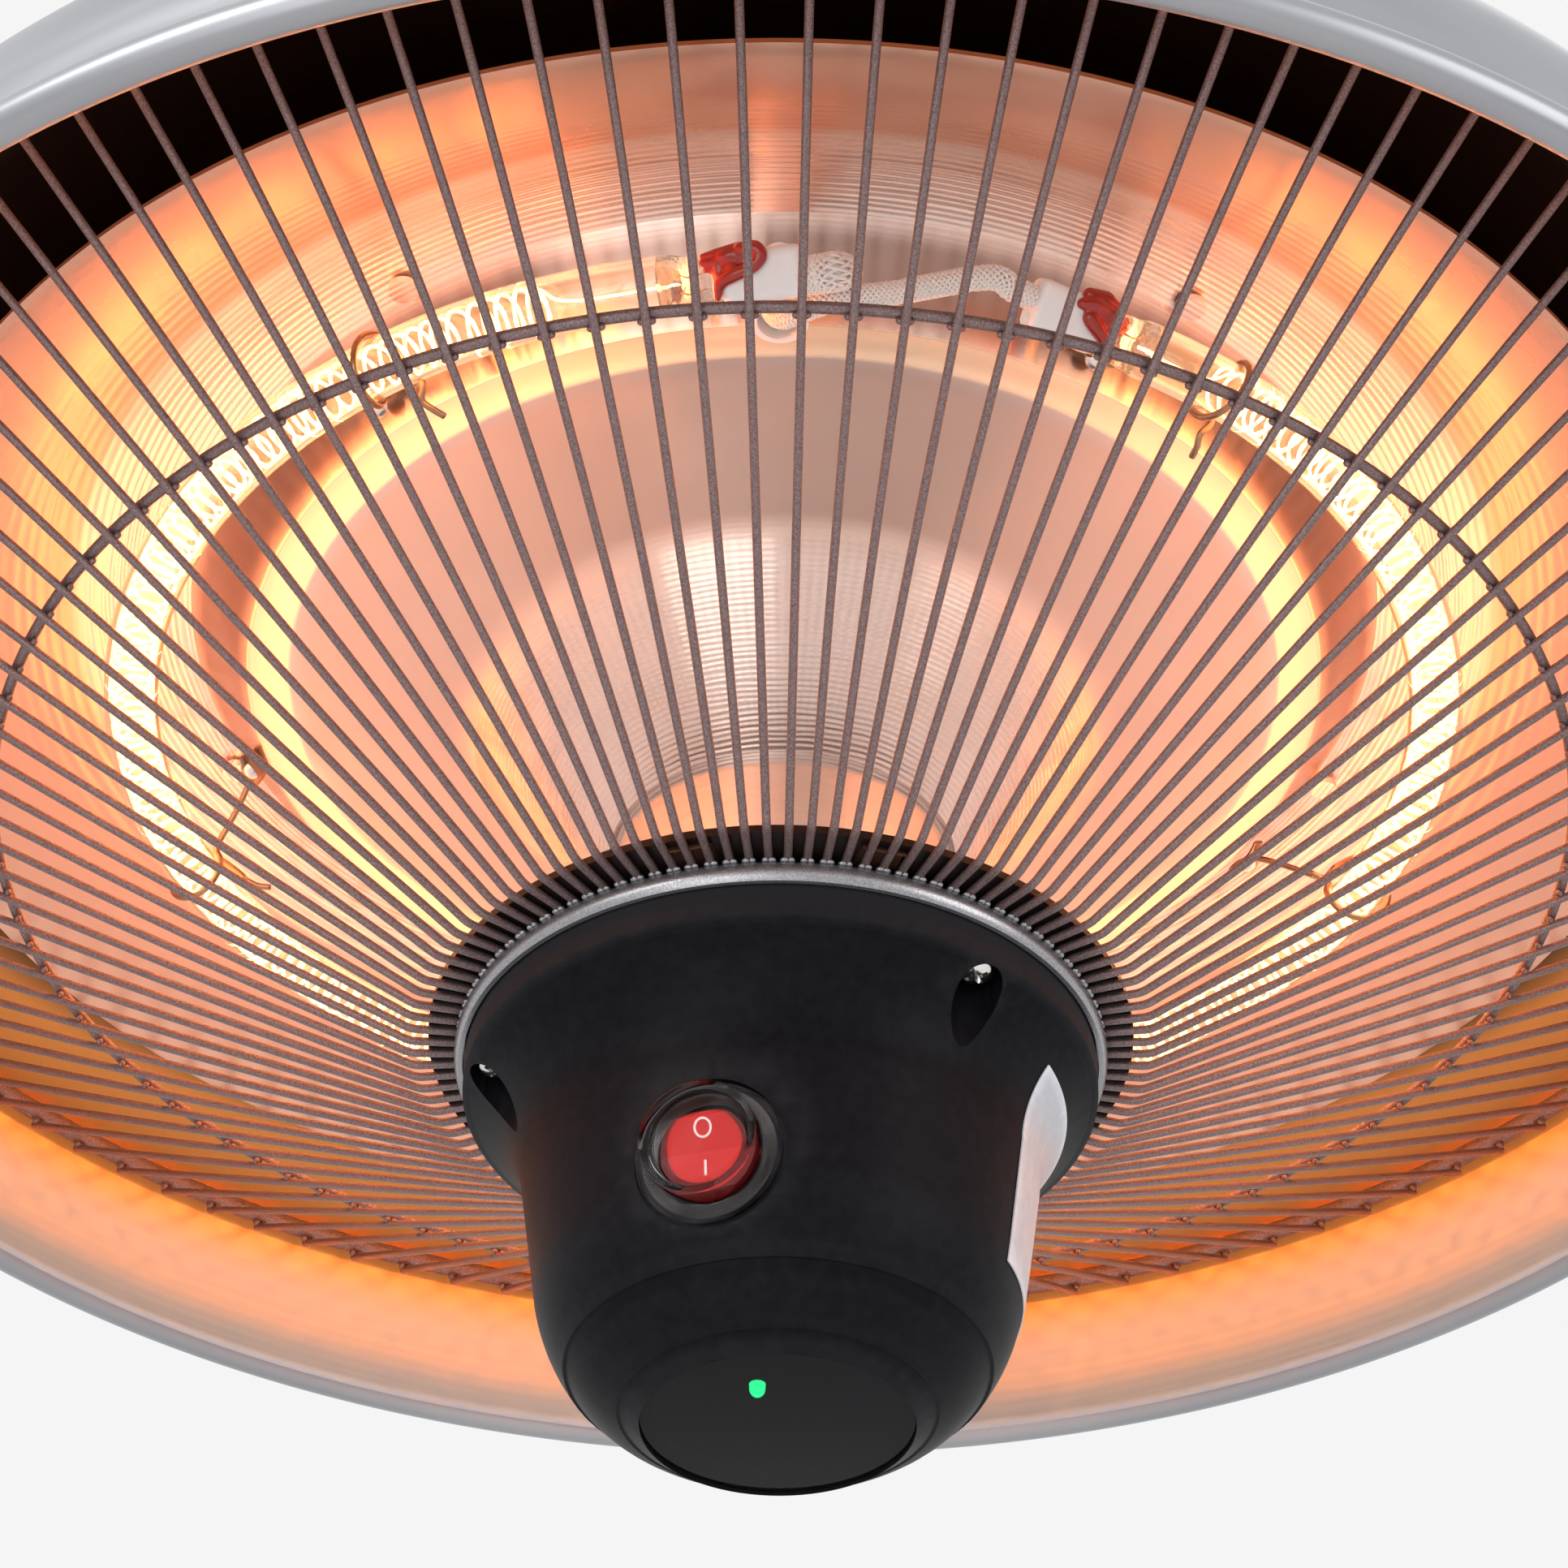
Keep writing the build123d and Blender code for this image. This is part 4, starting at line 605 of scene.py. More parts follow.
def spunReflector(name, facts):
    # Bright spun sheet with bands of coarse grooves and fine brushed lines, and painted light in bands by
    # radius
    material, tree, shader = newMaterial(name)
    lines = useGroup(tree, "lines", Grooves=facts["grooves"], Lines=facts["lines"], Breaks=facts["breaks"])
    radius = maths(tree, "MULTIPLY", axisRadius(tree, placeParts(tree)), 1000.0)
    mask = facts["even"]
    for grooved in facts["bands"]:
        mask = maths(tree, "ADD", gained(tree, radius, *grooved), mask)
    coarse = maths(tree, "MULTIPLY", lines["Groove"], mask)
    smear = remap(tree, lines["Smear"], *noiseSpread, 0, 1)
    tone = mixColors(tree, smear, facts["dark"], facts["light"])
    brushed = remap(tree, lines["Line"], *noiseSpread, 0, facts["brushed"])
    color = mixColors(tree, brushed, tone, facts["line"])
    # Painted light by radius: painted shade, painted reflections of the lamp's glow and a painted highlight
    for low, high, soft, share, paintedTint in facts["paintedLightTints"]:
        color = mixColors(tree, gained(tree, radius, low, high, soft, share), color, paintedTint)
    feed(tree, shader.inputs["Base Color"], color)
    metal = facts["metallic"]
    for matte in facts["matte"]:
        metal = maths(tree, "SUBTRACT", metal, gained(tree, radius, *matte))
    feed(tree, shader.inputs["Metallic"], metal)
    gloss = remap(tree, lines["Smear"], *noiseSpread, *facts["roughness"])
    for satin in facts["satin"]:
        gloss = maths(tree, "ADD", gloss, gained(tree, radius, *satin))
    feed(tree, shader.inputs["Roughness"], gloss)
    fine = bump(tree, lines["Line"], facts["fine"], facts["fineDepth"])
    feed(tree, shader.inputs["Normal"], bump(tree, coarse, facts["bump"], facts["depth"], fine))
    setPlain(shader, facts)
    return material


def hammeredCoat(name, facts):
    # Powder coat with small pits and bright specks, as on the guard
    material, tree, shader = newMaterial(name)
    grain = useGroup(tree, "grain", Size=facts["size"], Roughen=0.7)
    specks = addNode(tree, "ShaderNodeTexVoronoi", Vector=objectPlace(tree), Scale=1000.0 / facts["speck"])
    tone = mixColors(tree, remap(tree, grain["Height"], *facts["pits"], 0, 1), facts["dark"], facts["light"])
    glint = remap(tree, specks.outputs["Distance"], *facts["speckEdge"], 1, 0)
    color = mixColors(tree, maths(tree, "MULTIPLY", glint, facts["glints"]), tone, facts["glint"])
    feed(tree, shader.inputs["Base Color"], color)
    feed(tree, shader.inputs["Metallic"], facts["metallic"])
    feed(tree, shader.inputs["Roughness"], remap(tree, grain["Cloud"], *noiseSpread, *facts["roughness"]))
    feed(tree, shader.inputs["Normal"], bump(tree, grain["Height"], facts["bump"], facts["depth"]))
    setPlain(shader, facts)
    return material


def clear(name, facts):
    # Glass or clear plastic, with faint waves in its surface
    material, tree, shader = newMaterial(name)
    grain = useGroup(tree, "grain", Size=facts["size"], Roughen=0.4)
    feed(tree, shader.inputs["Base Color"], mixColors(tree, grain["Cloud"], facts["dark"], facts["light"]))
    feed(tree, shader.inputs["Roughness"], remap(tree, grain["Cloud"], *noiseSpread, *facts["roughness"]))
    feed(tree, shader.inputs["Normal"], bump(tree, grain["Height"], facts["bump"], facts["depth"]))
    setPlain(shader, facts)
    material.cycles.emission_sampling = "NONE"
    return material


def glowing(name, facts):
    # Hot wire: bright turns with slightly cooler stretches
    material, tree, shader = newMaterial(name)
    grain = useGroup(tree, "grain", Size=facts["size"])
    heat = mixColors(tree, remap(tree, grain["Height"], 0.35, 0.65, 0, 1), facts["dark"], facts["light"])
    feed(tree, shader.inputs["Base Color"], heat)
    feed(tree, shader.inputs["Emission Color"], heat)
    feed(tree, shader.inputs["Normal"], bump(tree, grain["Height"], 0.2, 0.0001))
    shader.inputs["Emission Strength"].default_value = facts["strength"]
    shader.inputs["Roughness"].default_value = 0.5
    material.cycles.emission_sampling = "NONE"
    return material


finishes = {
    "shadeOutside": spunOutside("shadeLacquer", {
        "grooves": 260.0, "breaks": 2.0, "dark": (0.31, 0.315, 0.335), "light": (0.40, 0.405, 0.43),
        "spread": (0.35, 0.65),
        "metallic": 0.8, "roughness": (0.32, 0.44), "grain": 0.06, "bump": 0.25, "depth": 0.0004,
        "coat": 0.12, "coatRoughness": 0.2,
    }),
    "shadeInside": liningWithPaintedLight("liningWithPaintedLight", {
        "grooves": 500.0, "breaks": 1.5, "waver": 3.0, "metallic": 0.15, "lip": (0.26, 0.43, 0.62),
        # Zones above the lip: heights between which each comes in, and its colour. The lip's blue tint is
        # painted against the lamp's orange light, the second zone's orange is the lamp's painted glow, and
        # the last is painted shade over the reflector
        "zones": (
            (47.0, 56.0, (0.51, 0.53, 0.53)), (60.0, 73.0, (1.0, 0.37, 0.085)),
            (88.5, 94.5, (0.014, 0.005, 0.003)),
        ),
        "roughness": (0.28, 0.42), "bump": 0.2, "depth": 0.0003, "specular": 0.2,
    }),
    "reflectorMetal": spunReflector("spunAluminium", {
        # The peach of these colours is a painted reflection of the lamp's orange glow
        "grooves": 830.0, "lines": 5200.0, "breaks": 1.0, "dark": (0.84, 0.63, 0.53),
        "light": (0.96, 0.79, 0.71), "line": (0.98, 0.86, 0.80), "metallic": 0.95, "roughness": (0.25, 0.35),
        "brushed": 0.3, "anisotropic": 0.92, "turned": 0.25,
        "bump": 0.8, "depth": 0.0003, "fine": 0.08, "fineDepth": 0.00008, "even": 0.0,
        # By distance from the axis: from, to, soft edge and how much
        "bands": ((112.0, 143.0, 5.0, 0.9), (28.0, 57.0, 4.0, 0.35)),
        "satin": (
            (91.5, 108.5, 1.5, -0.1), (28.0, 56.0, 3.0, -0.08), (108.5, 126.0, 3.0, -0.08),
            (59.0, 89.0, 3.0, 0.12),
        ),
        "matte": (
            (90.9, 98.4, 0.6, 0.7), (113.0, 128.0, 4.0, 0.06), (100.0, 108.0, 1.5, -0.05),
            (58.0, 89.0, 3.0, 0.12), (30.0, 56.0, 3.0, 0.04),
        ),
        # Painted light by distance from the axis: painted shade on the trough wall, painted reflections of
        # the lamp's orange glow on the cone and the flange, and a painted highlight along the crest
        "paintedLightTints": (
            (99.5, 108.5, 1.5, 1.0, (0.50, 0.34, 0.28)), (57.0, 89.5, 3.0, 0.9, (0.82, 0.61, 0.52)),
            (131.0, 170.0, 2.0, 0.85, (0.80, 0.43, 0.29)), (90.9, 98.4, 0.6, 0.8, (1.0, 0.86, 0.62)),
        ),
    }),
    "plainAluminium": spunReflector("turnedAluminium", {
        "grooves": 500.0, "lines": 4000.0, "breaks": 1.0, "dark": (0.78, 0.70, 0.67),
        "light": (0.90, 0.83, 0.80), "line": (0.95, 0.88, 0.85), "metallic": 1.0, "roughness": (0.22, 0.34),
        "brushed": 0.3, "bump": 0.2, "depth": 0.0002, "fine": 0.15, "fineDepth": 0.00008, "even": 0.2,
        "bands": ((20.0, 30.0, 2.0, 1.0),),
        "satin": ((20.0, 30.0, 2.0, 0.05),), "paintedLightTints": (), "matte": (),
    }),
    "guardCoat": hammeredCoat("hammeredCoat", {
        "size": 0.32, "speck": 0.42, "dark": (0.12, 0.079, 0.077), "light": (0.275, 0.19, 0.187),
        "glint": (0.46, 0.38, 0.38), "glints": 0.35, "metallic": 0.45, "roughness": (0.32, 0.46),
        "pits": (0.35, 0.68), "speckEdge": (0.05, 0.32), "bump": 0.55, "depth": 0.00012,
    }),
    "ringCoat": hammeredCoat("ringCoat", {
        "size": 0.32, "speck": 0.4, "dark": (0.26, 0.255, 0.27), "light": (0.42, 0.415, 0.43),
        "glint": (0.8, 0.8, 0.82), "glints": 0.4, "metallic": 0.8, "roughness": (0.24, 0.34),
        "pits": (0.35, 0.68), "speckEdge": (0.05, 0.32), "bump": 0.3, "depth": 0.0001,
    }),
    "zinc": grained("zincPlate", {
        "size": 0.8, "dark": (0.40, 0.39, 0.375), "light": (0.56, 0.55, 0.53), "metallic": 1.0,
        "roughness": (0.24, 0.38), "bump": 0.15, "worn": (0.68, 0.67, 0.65),
    }),
    "brightScrew": grained("brightScrew", {
        "size": 0.6, "dark": (0.66, 0.65, 0.63), "light": (0.82, 0.81, 0.79), "metallic": 1.0,
        "roughness": (0.12, 0.22), "bump": 0.12,
    }),
    "blackSteel": grained("blackLacquer", {
        "size": 0.9, "dark": (0.010, 0.006, 0.006), "light": (0.022, 0.014, 0.013),
        "roughness": (0.3, 0.42), "bump": 0.1, "specular": 0.2,
    }),
    "brownSteel": grained("brownLacquer", {
        "size": 0.9, "dark": (0.03, 0.012, 0.008), "light": (0.06, 0.026, 0.018),
        "roughness": (0.12, 0.2), "bump": 0.1, "specular": 0.5,
    }),
    "blackPlastic": grained("sparkGrainPlastic", {
        "size": 0.5, "dark": (0.0022, 0.0022, 0.0036), "light": (0.0042, 0.0042, 0.0062),
        "roughness": (0.42, 0.5), "bump": 0.4, "specular": 0.075,
        "worn": (0.016, 0.016, 0.019),
    }),
    "glossBlack": grained("glossPlastic", {
        "size": 1.2, "dark": (0.003, 0.003, 0.0035), "light": (0.006, 0.006, 0.007),
        "roughness": (0.12, 0.2), "bump": 0.06, "specular": 0.25,
    }),
    "quartz": clear("drawnQuartz", {
        "size": 6.0, "dark": (0.95, 0.92, 0.90), "light": (1.0, 0.99, 0.98), "roughness": (0.0, 0.02),
        # The glass's faint orange emission is a painted glow; the light comes from the coil inside
        "bump": 0.08, "depth": 0.0003, "transmission": 1.0, "ior": 1.4, "glow": ((1.0, 0.45, 0.15), 0.10),
    }),
    "pinchGlass": clear("pinchedQuartz", {
        "size": 1.6, "dark": (0.92, 0.84, 0.80), "light": (1.0, 0.97, 0.95), "roughness": (0.0, 0.12),
        "bump": 0.5, "depth": 0.0006, "transmission": 1.0, "ior": 1.46,
    }),
    # The orange of the foil is a painted reflection of the lit coil
    "foil": grained("hotFoil", {
        "size": 0.8, "dark": (0.75, 0.35, 0.12), "light": (1.0, 0.65, 0.3), "metallic": 1.0,
        "roughness": (0.2, 0.35), "bump": 0.4, "depth": 0.0002,
    }),
    "ceramic": grained("whiteCeramic", {
        "size": 0.6, "dark": (0.74, 0.71, 0.69), "light": (0.88, 0.86, 0.85), "roughness": (0.3, 0.45),
        "bump": 0.2, "worn": (0.95, 0.94, 0.93),
    }),
    "silicone": grained("redSilicone", {
        "size": 1.6, "dark": (0.20, 0.004, 0.002), "light": (0.46, 0.02, 0.006), "roughness": (0.12, 0.24),
        "bump": 0.3, "depth": 0.0004, "coat": 0.4,
    }),
    "sleeving": grained("wovenSleeving", {
        "size": 0.35, "dark": (0.78, 0.69, 0.63), "light": (0.93, 0.86, 0.81), "roughness": (0.55, 0.75),
        "bump": 0.5, "sheen": 0.2,
    }),
    # The copper colour of the spring wire is a painted reflection of the lamp's orange glow
    "springWire": grained("springWire", {
        "size": 0.5, "dark": (0.30, 0.17, 0.10), "light": (0.52, 0.34, 0.22), "metallic": 1.0,
        "roughness": (0.22, 0.36), "bump": 0.15,
    }),
    "brass": grained("plainBrass", {
        "size": 0.7, "dark": (0.55, 0.40, 0.16), "light": (0.72, 0.55, 0.25), "metallic": 1.0,
        "roughness": (0.22, 0.36), "bump": 0.15, "worn": (0.85, 0.7, 0.4),
    }),
    "sheath": grained("siliconeSheath", {
        "size": 1.0, "dark": (0.48, 0.46, 0.42), "light": (0.64, 0.62, 0.58), "roughness": (0.45, 0.6),
        "bump": 0.2,
    }),
    "laminate": grained("boardLaminate", {
        "size": 0.8, "dark": (0.008, 0.07, 0.03), "light": (0.016, 0.12, 0.05), "roughness": (0.3, 0.45),
        "bump": 0.2,
    }),
    "cases": grained("componentCases", {
        "size": 0.6, "dark": (0.02, 0.02, 0.022), "light": (0.05, 0.05, 0.055), "roughness": (0.4, 0.55),
        "bump": 0.25,
    }),
    "label": grained("labelFilm", {
        "size": 0.9, "dark": (0.42, 0.44, 0.48), "light": (0.49, 0.51, 0.55), "roughness": (0.34, 0.46),
        "bump": 0.1, "specular": 0.25, "worn": (0.68, 0.70, 0.74),
    }),
    "window": clear("smokedWindow", {
        "size": 2.0, "dark": (0.035, 0.032, 0.045), "light": (0.05, 0.045, 0.06), "roughness": (0.03, 0.07),
        "bump": 0.03, "depth": 0.0001, "transmission": 0.9, "ior": 1.16,
    }),
    "clearCap": clear("clearSoftCap", {
        "size": 3.0, "dark": (0.78, 0.74, 0.74), "light": (0.92, 0.89, 0.89), "roughness": (0.0, 0.03),
        "bump": 0.04, "depth": 0.0003, "transmission": 1.0, "ior": 1.12,
    }),
    "whitePaint": grained("whitePrint", {
        "size": 0.5, "dark": (0.78, 0.70, 0.68), "light": (0.88, 0.82, 0.80), "roughness": (0.4, 0.5),
        "bump": 0.1,
    }),
    "led": grained("greenLight", {
        "size": 1.0, "dark": (0.02, 0.7, 0.2), "light": (0.1, 0.95, 0.35), "roughness": (0.1, 0.2),
        "bump": 0.05, "glow": ((0.02, 1.0, 0.22), 34.0),
    }),
    "filament": glowing("glowingCoil", {
        "size": 1.2, "dark": (1.0, 0.62, 0.22), "light": (1.0, 0.84, 0.5), "strength": 2.6,
    }),
}
print("materials made:", len(finishes))


# Shade
shadeFacts = {
    "skirt": 207.4, "shoulderHeight": 58.0, "shoulderRadius": 38.0, "slope": 16.0, "flat": 50.0, "wall": 1.2,
    "bead": (209.2, 45.0), "beadRadius": 3.3, "beadTurn": (483.0, 155.4), "hole": 5.3, "segments": 384,
    "liningFrom": 43.5, "inside": 40.0,    # heights: where the lining begins, and a point inside the shade
}


def makeShade(facts):
    centre = (facts["skirt"] - facts["shoulderRadius"], facts["shoulderHeight"])
    tangent = math.tan(math.radians(facts["slope"]))
    steep = 90 - facts["slope"]
    outerArc = sweepArc(centre, facts["shoulderRadius"], steep, 0, 26)
    roof = outerArc[0][1] + (outerArc[0][0] - facts["flat"]) * tangent
    innerArc = sweepArc(centre, facts["shoulderRadius"] - facts["wall"], 0, steep, 26)
    under = roof - facts["wall"]
    innerFlat = innerArc[-1][0] - (under - innerArc[-1][1]) / tangent
    bead = sweepArc(facts["bead"], facts["beadRadius"], *facts["beadTurn"], 32)
    profile = [(facts["hole"], roof), (facts["flat"] - 1, roof), (facts["flat"] + 1, roof - tangent)]
    profile += outerArc + bead + innerArc + [(innerFlat, under), (facts["hole"], under)]
    piece = lathe("shade", profile, facts["segments"])
    settle(piece, finishes["shadeOutside"], replaced=["shade"])
    piece.data.materials.append(finishes["shadeInside"])
    middle = Vector((0, 0, level(facts["inside"])))
    sheetMiddle = (facts["skirt"] - facts["wall"] / 2) * mm
    for face in piece.data.polygons:
        inwards = face.normal.dot(face.center - middle) < 0 and face.center.xy.length < sheetMiddle
        if inwards and face.center.z > level(facts["liningFrom"]):
            face.material_index = 1
    return roof


roofHeight = makeShade(shadeFacts)
print("shade made, roof at", round(roofHeight, 2))


# Reflector
reflectorFacts = {
    "sheet": 1.0, "rim": (165.5, 73.7), "land": (162.8, 73.7), "crease": (130.0, 92.0),
    "troughMiddle": (120.0, 94.6), "trough": (110.0, 94.0), "crestOut": (98.3, 79.2),
    "crestMiddle": (94.65, 79.8), "crestIn": (91.0, 79.2), "coneMiddle": (74.5, 76.05), "cone": (58.0, 70.5),
    "horn": (47.0, 57.6), "throat": (31.0, 42.0), "hole": 5.3, "segments": 384,
    "bush": (102.0, -91.3, 4.95),    # distance and azimuth of the ceramic bush, and its hole's radius
}


def makeReflector(facts):
    low = [facts["rim"], facts["land"], facts["crease"]]
    low += arc(facts["crease"], facts["troughMiddle"], facts["trough"], 16)
    low += [facts["crestOut"]]
    low += arc(facts["crestOut"], facts["crestMiddle"], facts["crestIn"], 6)
    low += arc(facts["crestIn"], facts["coneMiddle"], facts["cone"], 12)
    low += arc(facts["cone"], facts["horn"], facts["throat"], 16)
    low += [(facts["hole"], facts["throat"][1])]
    high = [(r, h + facts["sheet"]) for r, h in reversed(low)]
    piece = lathe("reflector", low + high, facts["segments"])
    radius, azimuth, hole = facts["bush"]
    drill(piece, [spot(radius, azimuth, h) for h in (70, 104)], hole, 48)
    settle(piece, finishes["reflectorMetal"], replaced=["reflector"])


makeReflector(reflectorFacts)
print("reflector made")


# Guard
guardFacts = {
    "innerEnd": 54.6, "bendPlace": 64.0, "bend": 5.0, "outerEnd": 200.6, "slope": 27.5, "weldGap": 0.1,
    "middleRing": (140.2, 1.0), "outerRing": (199.6, 1.9), "segments": 440,
    "pointed": ((1.0, 0.3), (0.6, 0.8)),    # shape of a wire's end: how far out, and how thick
}


def wireProfile(facts):
    # The line of one radial wire as (radius, height) points
    slope = math.radians(facts["slope"])
    reach = facts["bend"] * math.tan(slope / 2)
    bend = sweepArc((facts["bendPlace"] - reach, facts["bend"]), facts["bend"], 270, 270 + facts["slope"], 6)
    end = (facts["outerEnd"], (facts["outerEnd"] - facts["bendPlace"]) * math.tan(slope))
    return [(facts["innerEnd"], 0)] + bend + [end]


def ringHeight(facts, ring):
    radius, wire = ring
    slope = math.radians(facts["slope"])
    lift = (guardWire["radius"] + facts["weldGap"] + wire) / math.cos(slope)
    return (radius - facts["bendPlace"]) * math.tan(slope) + lift


def roundEnds(path, radius, pointed):
    # A wire's path and radii with rounded ends
    first = (path[0] - path[1]).normalized()
    last = (path[-1] - path[-2]).normalized()
    depth = radius * 0.6
    head = [path[0] + first * depth * out for out, size in pointed]
    tail = [path[-1] + last * depth * out for out, size in reversed(pointed)]
    sizes = [radius * size for out, size in pointed]
    return [*head, *path, *tail], [*sizes, *[radius] * len(path), *reversed(sizes)]


def makeGuard(facts, wire):
    step = 360.0 / wire["count"]
    perSector = wire["count"] // wire["sectors"]
    profile = wireProfile(facts)
    for sector in range(wire["sectors"]):
        routes = []
        for k in range(perSector):
            azimuth = front + wire["phase"] + (sector * perSector + k) * step
            path = [spot(r, azimuth, h) for r, h in profile]
            routes.append(roundEnds(path, wire["radius"] * mm, facts["pointed"]))
        piece = addTubes(f"guardWires{sector + 1}", routes, wire["sides"])
        settle(piece, finishes["guardCoat"], replaced=[f"guard_wires_{sector + 1}"])
    for name, key, cad in (
        ("guardMiddleRing", "middleRing", "guard_middle_ring"),
        ("guardOuterRing", "outerRing", "guard_outer_ring"),
    ):
        radius, thick = facts[key]
        ring = sweepArc((radius, ringHeight(facts, facts[key])), thick, 0, 337.5, 15)
        settle(lathe(name, ring, facts["segments"]), finishes["guardCoat"], replaced=[cad])


weldFacts = {
    "rings": (("middleRing", 1.0), ("outerRing", 1.7)),    # how long the fillets are at each ring
    "fillet": (0.75, 0.6, 0.7), "bead": (0.72, 0.85, 0.5),  # half sizes
    "beside": 1.05, "beadInside": 0.9, "beadBeside": 0.55, "beadHeight": -0.62, "uneven": 0.1,
}


def makeWelds(facts, wire, weldSizes):
    # Fillets at the two round rings, and beads at each wire's foot
    slope = math.radians(facts["slope"])
    wide, long, high = weldSizes["fillet"]
    beadWide, beadLong, beadHigh = weldSizes["bead"]
    fillets, beads = [], []
    for k in range(wire["count"]):
        azimuth = front + wire["phase"] + k * 360.0 / wire["count"]
        outward, along = sideways(azimuth)
        rise = outward * math.cos(slope) + Vector((0, 0, math.sin(slope)))
        lift = Vector((0, 0, math.cos(slope))) - outward * math.sin(slope)
        for key, stretch in weldSizes["rings"]:
            radius = facts[key][0]
            foot = spot(radius, azimuth, (radius - facts["bendPlace"]) * math.tan(slope))
            foot += lift * (wire["radius"] * mm)
            for side in (-1, 1):
                centre = foot + along * (side * wire["radius"] * weldSizes["beside"] * mm)
                fillets.append((centre, (along * wide * mm, rise * stretch * long * mm, lift * high * mm)))
        foot = spot(facts["innerEnd"] + weldSizes["beadInside"], azimuth, weldSizes["beadHeight"])
        for side in (-1, 1):
            size = beadWide + weldSizes["uneven"] * math.sin(k * 2.4 + side)
            centre = foot + along * (side * weldSizes["beadBeside"] * mm)
            upward = Vector((0, 0, beadHigh * mm))
            beads.append((centre, (along * size * mm, outward * beadLong * mm, upward)))
    settle(addBalls("guardWelds", fillets), finishes["guardCoat"])
    settle(addBalls("footWelds", beads), finishes["ringCoat"])


screwPlaces = {"radius": 49.3, "azimuths": (-50, 70, 190)}
innerRingFacts = {
    "bore": 45.0, "edge": 55.4, "top": -0.85, "under": -2.45, "back": 54.8,
    "roll": (56.35, -2.8), "foot": (55.6, -4.75), "hole": 2.0,
}


def makeInnerRing(facts, screws):
    # Pressed ring with a rolled outer face, on which the wires stand
    top, under, back = facts["top"], facts["under"], facts["back"]
    face = arc((facts["edge"], top), facts["roll"], facts["foot"], 10)
    profile = [(facts["bore"], top), (facts["edge"], top), *face, (back, facts["foot"][1]), (back, under)]
    piece = lathe("guardInnerRing", profile + [(facts["bore"], under)], 288)
    for azimuth in screws["azimuths"]:
        drill(piece, [spot(screws["radius"], azimuth, h) for h in (-4, 1)], facts["hole"], 32)
    settle(piece, finishes["ringCoat"], replaced=["guard_inner_ring"])


makeGuard(guardFacts, guardWire)
makeWelds(guardFacts, guardWire, weldFacts)
makeInnerRing(innerRingFacts, screwPlaces)
print("guard made")


# Lamp
lampFacts = {
    "ring": 118.5, "height": 69.5, "start": front + 29.8, "end": front - 10.6 + 360, "tube": 5.0,
    "wall": 0.8, "turns": 216, "coil": 3.75, "wire": 0.36, "coilGap": (6.2, 8.4),
    "ceramicStart": 10.0, "ceramicEnd": 23.4,
    "wander": ((0.35, 61, 0), (0.25, 173, 1), (0.2, 411, 2)),    # how the turns drift: degrees, speed, start
    "tail": 0.28, "tailStart": 1.2, "tailEnd": 2.5,
}
lampSides = ((True, "Right"), (False, "Left"))    # whether it is the lamp's start, and the piece's name


def lampEnd(facts, atStart):
    # Origin and directions of one end of the lamp: out along the tube, broad side, towards the axis
    azimuth = facts["start"] if atStart else facts["end"]
    outward, tangent = sideways(azimuth)
    out = -tangent if atStart else tangent
    broad = (outward + Vector((0, 0, 1))).normalized()
    return spot(facts["ring"], azimuth, facts["height"]), out, broad, broad.cross(tangent).normalized()


def makeTube(facts):
    span = facts["end"] - facts["start"]

    def place(radius, turn, height):
        return spot(radius, facts["start"] + turn, height)

    skins = []
    for radius in (facts["tube"], facts["tube"] - facts["wall"]):
        ring = sweepArc((facts["ring"], facts["height"]), radius, 0, 345, 23)
        skins.append(turnProfile("skin", ring, place, 360, True, span, 180))
    skins[1].data.flip_normals()
    shape = bmesh.new()
    for skin in skins:
        shape.from_mesh(skin.data)
        bpy.data.objects.remove(skin)
    mesh = bpy.data.meshes.new("lampTube")
    shape.to_mesh(mesh)
    shape.free()
    shadeMesh(mesh, 50)
    piece = bpy.data.objects.new("lampTube", mesh)
    bpy.context.scene.collection.objects.link(piece)
    settle(piece, finishes["quartz"], replaced=["lamp_tube"])
    piece.visible_shadow = False    # lets the coil's light through the clear glass


def makeFilament(facts):
    # One long coil with uneven turns, and straight tails to the pinched ends
    begin = facts["start"] + facts["coilGap"][0]
    end = facts["end"] - facts["coilGap"][1]
    count = facts["turns"] * 18
    path, radii = [], []
    for i in range(count + 1):
        share = i / count
        wind = 2 * math.pi * facts["turns"] * share
        wander = sum(size * math.sin(share * speed + first) for size, speed, first in facts["wander"])
        reach = facts["coil"] + 0.16 * math.sin(share * 97) + 0.12 * math.sin(wind * 0.5)
        azimuth = begin + (end - begin) * share + wander
        across = facts["ring"] + reach * math.cos(wind)
        path.append(spot(across, azimuth, facts["height"] + reach * math.sin(wind)))
        radii.append((facts["wire"] + 0.07 * math.sin(i * 2.1)) * mm)
    routes = [(path, radii)]
    tails = ((True, path[0], begin - facts["tailStart"]), (False, path[-1], end + facts["tailStart"]))
    for atStart, coilEnd, azimuth in tails:
        origin, out = lampEnd(facts, atStart)[:2]
        tail = [coilEnd, spot(facts["ring"], azimuth, facts["height"]), origin + out * facts["tailEnd"] * mm]
        routes.append((smoothPath(tail, 6), facts["tail"] * mm))
    piece = addTubes("lampFilament", routes, 6, 180)
    settle(piece, finishes["filament"], replaced=["lamp_filament"])
    piece.visible_shadow = False    # the coil's own light is placed inside it


def roundedSection(origin, xDir, yDir, halfX, halfY, power, count=36):
    # Ring of points between an ellipse and a rounded box
    points = []
    for k in range(count):
        turn = 2 * math.pi * k / count
        c, s = math.cos(turn), math.sin(turn)
        x = math.copysign(abs(c) ** (2 / power), c) * halfX
        y = math.copysign(abs(s) ** (2 / power), s) * halfY
        points.append(origin + xDir * (x * mm) + yDir * (y * mm))
    return points


def crumple(points, size, depth, seed):
    # Shifts points a little, the same way each time
    noise.seed_set(seed)
    return [p + noise.noise_vector(p / (size * mm)) * depth * mm for p in points]


